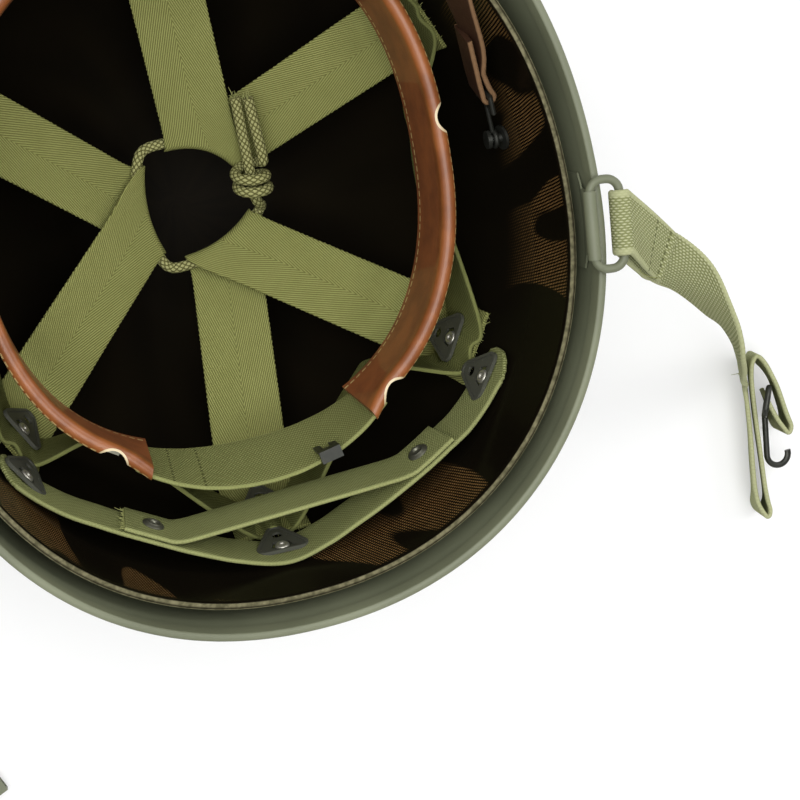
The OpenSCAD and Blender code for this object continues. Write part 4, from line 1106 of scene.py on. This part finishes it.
studs, sockets = [], []
stud_dome = [(0.05, 2.0), (1.6, 1.8), (2.9, 1.2), (3.8, 0.3), (4.0, 0.0), (4.0, -0.2)]
socket_ring = [(0.1, 0.2), (1.5, 0.2), (1.7, 0.9), (2.1, 1.2), (2.6, 1.2), (3.0, 0.8), (3.6, 0.6),
               (4.0, 0.2), (4.0, 0)]
for k in (54, 160):
    spot = nape_line[k:k + 1]
    way = unit(nape_point(nape_line[k + 1:k + 2]) - nape_point(nape_line[k - 1:k]))[0]
    up = wall_frame(spot[0, 0], nape_z)[1]
    inward = np.cross(way, square_to(way, up))
    inward = inward * np.sign(inward @ wall_frame(spot[0, 0], nape_z)[2])
    base = nape_point(spot)[0]
    studs += lathe(stud_dome, base - inward * (nape_t / 2 + 0.1), -inward)
    sockets += lathe(socket_ring, base + inward * (strap_lift + nape_t / 2), inward)
piece("snap_stud_domes", studs, bright_steel, "liner", "rivet_steel", "snap_studs")
socket_steel = Finish("socket_steel", Base_Color=tone(112, 112, 98), Metallic=0.75, Roughness=0.38)
piece("snap_socket_rings", sockets, socket_steel, "liner", "rivet_steel", "snap_sockets")


# The sweatband: chestnut leather 2 mm thick, its lower edge stitched in cream thread. Its top
# edge is rolled outward and notched at the clips in half moons whose cut edge is cream. Spring
# clips hang it on the headband webbing.
leather_from = -63.5
leather_to = 249.0
leather_t = 1.9
leather_low = 100.0
leather_top = 134.0
roll_r = 2.7
roll_t = 1.1
notch_half = 5.6
end_lean = 8.0

leather = Finish("sweatband_leather", Specular_IOR_Level=0.5, Coat_Weight=0.25)
u, v = leather.along()
at = leather.place()
cloud = leather.noise(at, 0.06, 3.0, 0.6)
pore = leather.noise(at, 1.3, 3.0, 0.6)
top_part = v.step(26.0, 33.0)
base = leather.blend(cloud.step(0.3, 0.7), tone(118, 62, 27), tone(148, 83, 39))
rolled = leather.blend(cloud.step(0.35, 0.65), tone(124, 69, 31), tone(150, 88, 43))
hide = leather.blend(top_part, base, rolled)
stitch_len = 3.1
seam_line = 1.0 - (v - 3.0).abs().least((v - 38.5).abs()).step(0.35, 0.75)
dash = ((u * (2 * np.pi / stitch_len)).sin() * 0.5 + 0.5).step(0.15, 0.35)
thread_on = seam_line * dash
hide = leather.blend(thread_on, hide, tone(204, 178, 120))
hide = leather.blend(leather.mark().step(0.4, 0.7), hide, tone(214, 196, 158))
leather.feed("Base Color", hide)
leather.feed("Roughness", 0.62 - top_part * 0.22 + pore * 0.12)
leather.bump(pore * 0.5 + thread_on * 1.0, 0.35, 0.5)


def sweat_section(gone):
    """Section of the sweatband as rows of distance out, height, run and mark: the inner face
    up, the roll outward and down, and the outer face back. In a notch the roll ends early, at
    the angle that gone sets, from 0 for a whole roll to 1."""
    inner = -leather_t / 2
    hub = np.array([inner + roll_r, leather_top - roll_r])
    last = 140 * gone - 40
    g = np.linspace(180, last, 16)

    def on_roll(radius, a, run, mark=0):
        """Row for a point on a circle round the hub of the roll."""
        return (*(hub + radius * np.array([cos(a), sin(a)])), run, mark)

    up = [(inner, z, z - leather_low, 0) for z in np.linspace(leather_low, hub[1], 14)]
    arc = [on_roll(roll_r, a, 31.3 + (180 - a) * 0.047) for a in g]
    hang = 1 - min(gone * 5, 1)
    x, z = arc[-1][:2]
    tail = [(x - 0.2 * hang, z - hang, 44.0, 1), on_roll(roll_r - roll_t, last, 44.5, 1)]
    back = [on_roll(roll_r - roll_t, a, 45.0) for a in g[::-1][1:9]]
    down = [(leather_t / 2, z, z - leather_low, 0) for z in np.linspace(hub[1] - 1.8, leather_low, 12)]
    rows = np.array(up + arc + tail + back + down)
    rows[26:30, 3] = 1
    rows[:, 3] *= min(gone * 3, 1)
    return rows


def sweat_stations():
    """Azimuths of the sections and the depth of the notch there: half moons of radius notch_half."""
    a = np.arange(leather_from, leather_to + 0.01, 0.9)
    share = sin(np.linspace(-90, 90, 27))
    gone = np.zeros(len(a))
    for c in clip_az:
        c = c - 360 if c > leather_to else c
        half = np.degrees(notch_half / np.linalg.norm(sweat_point(c, 0, 0) - (-2.5, 12, 0)))
        outside = np.abs(a - c) > half + 0.05
        a = np.concatenate([a[outside], c + half * share])
        gone = np.concatenate([gone[outside], np.sqrt(1 - share ** 2)])
    order = np.argsort(a)
    return a[order], gone[order]


station, gone = sweat_stations()
sections = np.stack([sweat_section(g) for g in gone])
base = sweat_point(station, 0, 0)[:, None]
walk = walked(base[:, 0])
lean = end_lean * np.clip(1 - np.minimum(walk, walk[-1] - walk) / 14, 0, 1)[:, None] ** 2
out, high = sections[..., 0], sections[..., 1] - leather_low
out, high = out * cos(lean) + high * sin(lean), high * cos(lean) - out * sin(lean) + leather_low
rings = base + sweat_out(station)[:, None] * out[..., None] + (0, 0, 1) * high[..., None]
run = np.hstack([sections[..., 2], sections[:, :1, 2]])
uv = np.stack([np.broadcast_to(walk[:, None], run.shape), run], -1)
piece("sweatband_leather_band", skin(rings, uv, marks=sections[..., 3]), leather, "liner",
      "sweatband_hide", "sweatband_leather")

clip_steel = Finish("clip_steel", Base_Color=tone(120, 118, 104), Metallic=0.7, Roughness=0.42)
for k in range(1, 7):
    dress(clip_steel, "rivet_steel", f"sweatband_clip_{k}")


# The adjusting strap at the nape: webbing 28 mm wide, sewn to both ends of the leather with two
# rows of dark thread, and shortened by a small steel buckle behind it. It leans outward.
rear_off = leather_t / 2 + 1.05
rear_z = 118.0
rear_w = 28.0
rear_t = 1.6
rear_seams = (13.5, 24.5)
rear_cloth = plain_weave("adjusting_cloth", tone(98, 102, 54), tone(156, 160, 104), rear_w / 2, 0.8, 1.2,
                         rear_seams)
a = np.linspace(leather_to - 3.4, 360 + leather_from + 3.4, 90)
lean = end_lean + 17 * sin(np.linspace(0, 180, 90))[:, None]
across = sweat_out(a) * sin(lean) + (0, 0, 1) * cos(lean)
mid = sweat_point(a, rear_z - rear_w / 2, rear_off) + across * rear_w / 2
webbing("adjusting_strap_webbing", strip(np.hstack([mid, across]), rear_w / 2, rear_t, wave=0.06),
        rear_cloth, "sweatband_rear_strap")
buckle_at = 290.0
buckle_shift = sweat_out(buckle_at) * 8.5 - (0, 0, 1)
copied("sweatband_buckle", dark_steel, lambda p: p + buckle_shift)


# The liner chinstrap: dark brown leather 12.7 mm wide, slung over the front brim. Each end is
# folded round a blackened wire loop that hooks on a stud in the liner wall.
thin_w = 12.7
thin_t = 2.0
thin_bend = 2.0
stud_at = wall_point(8.5, 125, 0.45)
hook_foot = stud_at - (3.3, 0, 0)
loop_at = hook_foot + (-3, 13.5, 6.8)
loop_dir = unit(loop_at - hook_foot)
loop_side = unit(np.cross((1, 0, 0), loop_dir))
loop_out = np.cross(loop_side, loop_dir)
loop_out = loop_out * np.sign(loop_out[0])
loop_bar = loop_at + loop_dir * 5.6
thin_route = [(95.5, 44, 144, 92), (88, 64, 157, 112), (84.5, 84, 170, 150), (81.5, 104, 171, 178),
              (74, 121, 168.4, 202), (61.5, 135.4, 161, 240), (43.5, 144.8, 154, 262),
              (21, 149.6, 149.5, 270), (0, 150.4, 148.5, 270)]

strap_hide = Finish("strap_hide", Specular_IOR_Level=0.4)
u, v = strap_hide.along()
at = strap_hide.place()
cloud = strap_hide.noise(at, 0.12, 3.0)
edge_part = v.abs().step(5.5, 6.1)
face = strap_hide.blend(cloud, tone(38, 22, 12), tone(62, 37, 20))
strap_hide.feed("Base Color", strap_hide.blend(edge_part, face, tone(122, 92, 62)))
strap_hide.feed("Roughness", edge_part * 0.25 + strap_hide.noise(at, 0.8, 2.0) * 0.2 + 0.45)
strap_hide.bump(strap_hide.noise(at, 1.2, 3.0), 0.25, 0.4)

g = np.arange(0, 181, 20)[:, None]
back = np.array([24.0, 18, 12, 6, 2])[:, None]
ahead = np.array([3.0, 6])[:, None]
fold_in = np.vstack([
    loop_bar + loop_dir * back - loop_out * (2.1 + 0.1 * np.sign(back - 3)),
    loop_bar - loop_out * thin_bend * cos(g) - loop_dir * thin_bend * sin(g),
    loop_bar + loop_dir * ahead + loop_out * (1.6 - 0.2 * ahead)])
rows = curve([(*(loop_bar + loop_dir * 9), 90)] + thin_route, 10)
mid, side = route_frame(rows)
side_in = np.broadcast_to(side[0], fold_in.shape)
half_line = np.hstack([np.vstack([fold_in, mid]), np.vstack([side_in, side])])
other = (half_line * (-1, 1, 1, 1, -1, -1))[:-1][::-1]
rows = even(np.vstack([half_line, other]), 0.7)
mesh = strip(soften(rows, 3), thin_w / 2, thin_t, wave=0.05, pitch=3.0)
piece("liner_chinstrap_leather", mesh, strap_hide, "leather_strap", "strap_hide", "liner_chinstrap")
dress(dark_steel, "blackened_steel", "liner_hook_right", "liner_hook_left", "liner_strap_buckle",
      "liner_stud_right", "liner_stud_left")

# The thread ends of the right chinstrap: loose ends of the cotton thread that sews its loop and
# its hem, left long where the seams finish.
stitching = threads(
    np.vstack([(231.4, -119.0, 12.0), (231.2, -118.4, 14.0),
               at_bail(bar + flap * 18 - wrap_side[1] * 9.4, 1)]),
    unit(np.array([(-0.7, -0.1, 0.3), (-0.6, 0.3, 0.4), (0.1, -0.9, -0.1)])), 5.0, 0.35, 3)
piece("chinstrap_right_thread_ends", stitching, yarn, "strap_right", "strap_webbing")
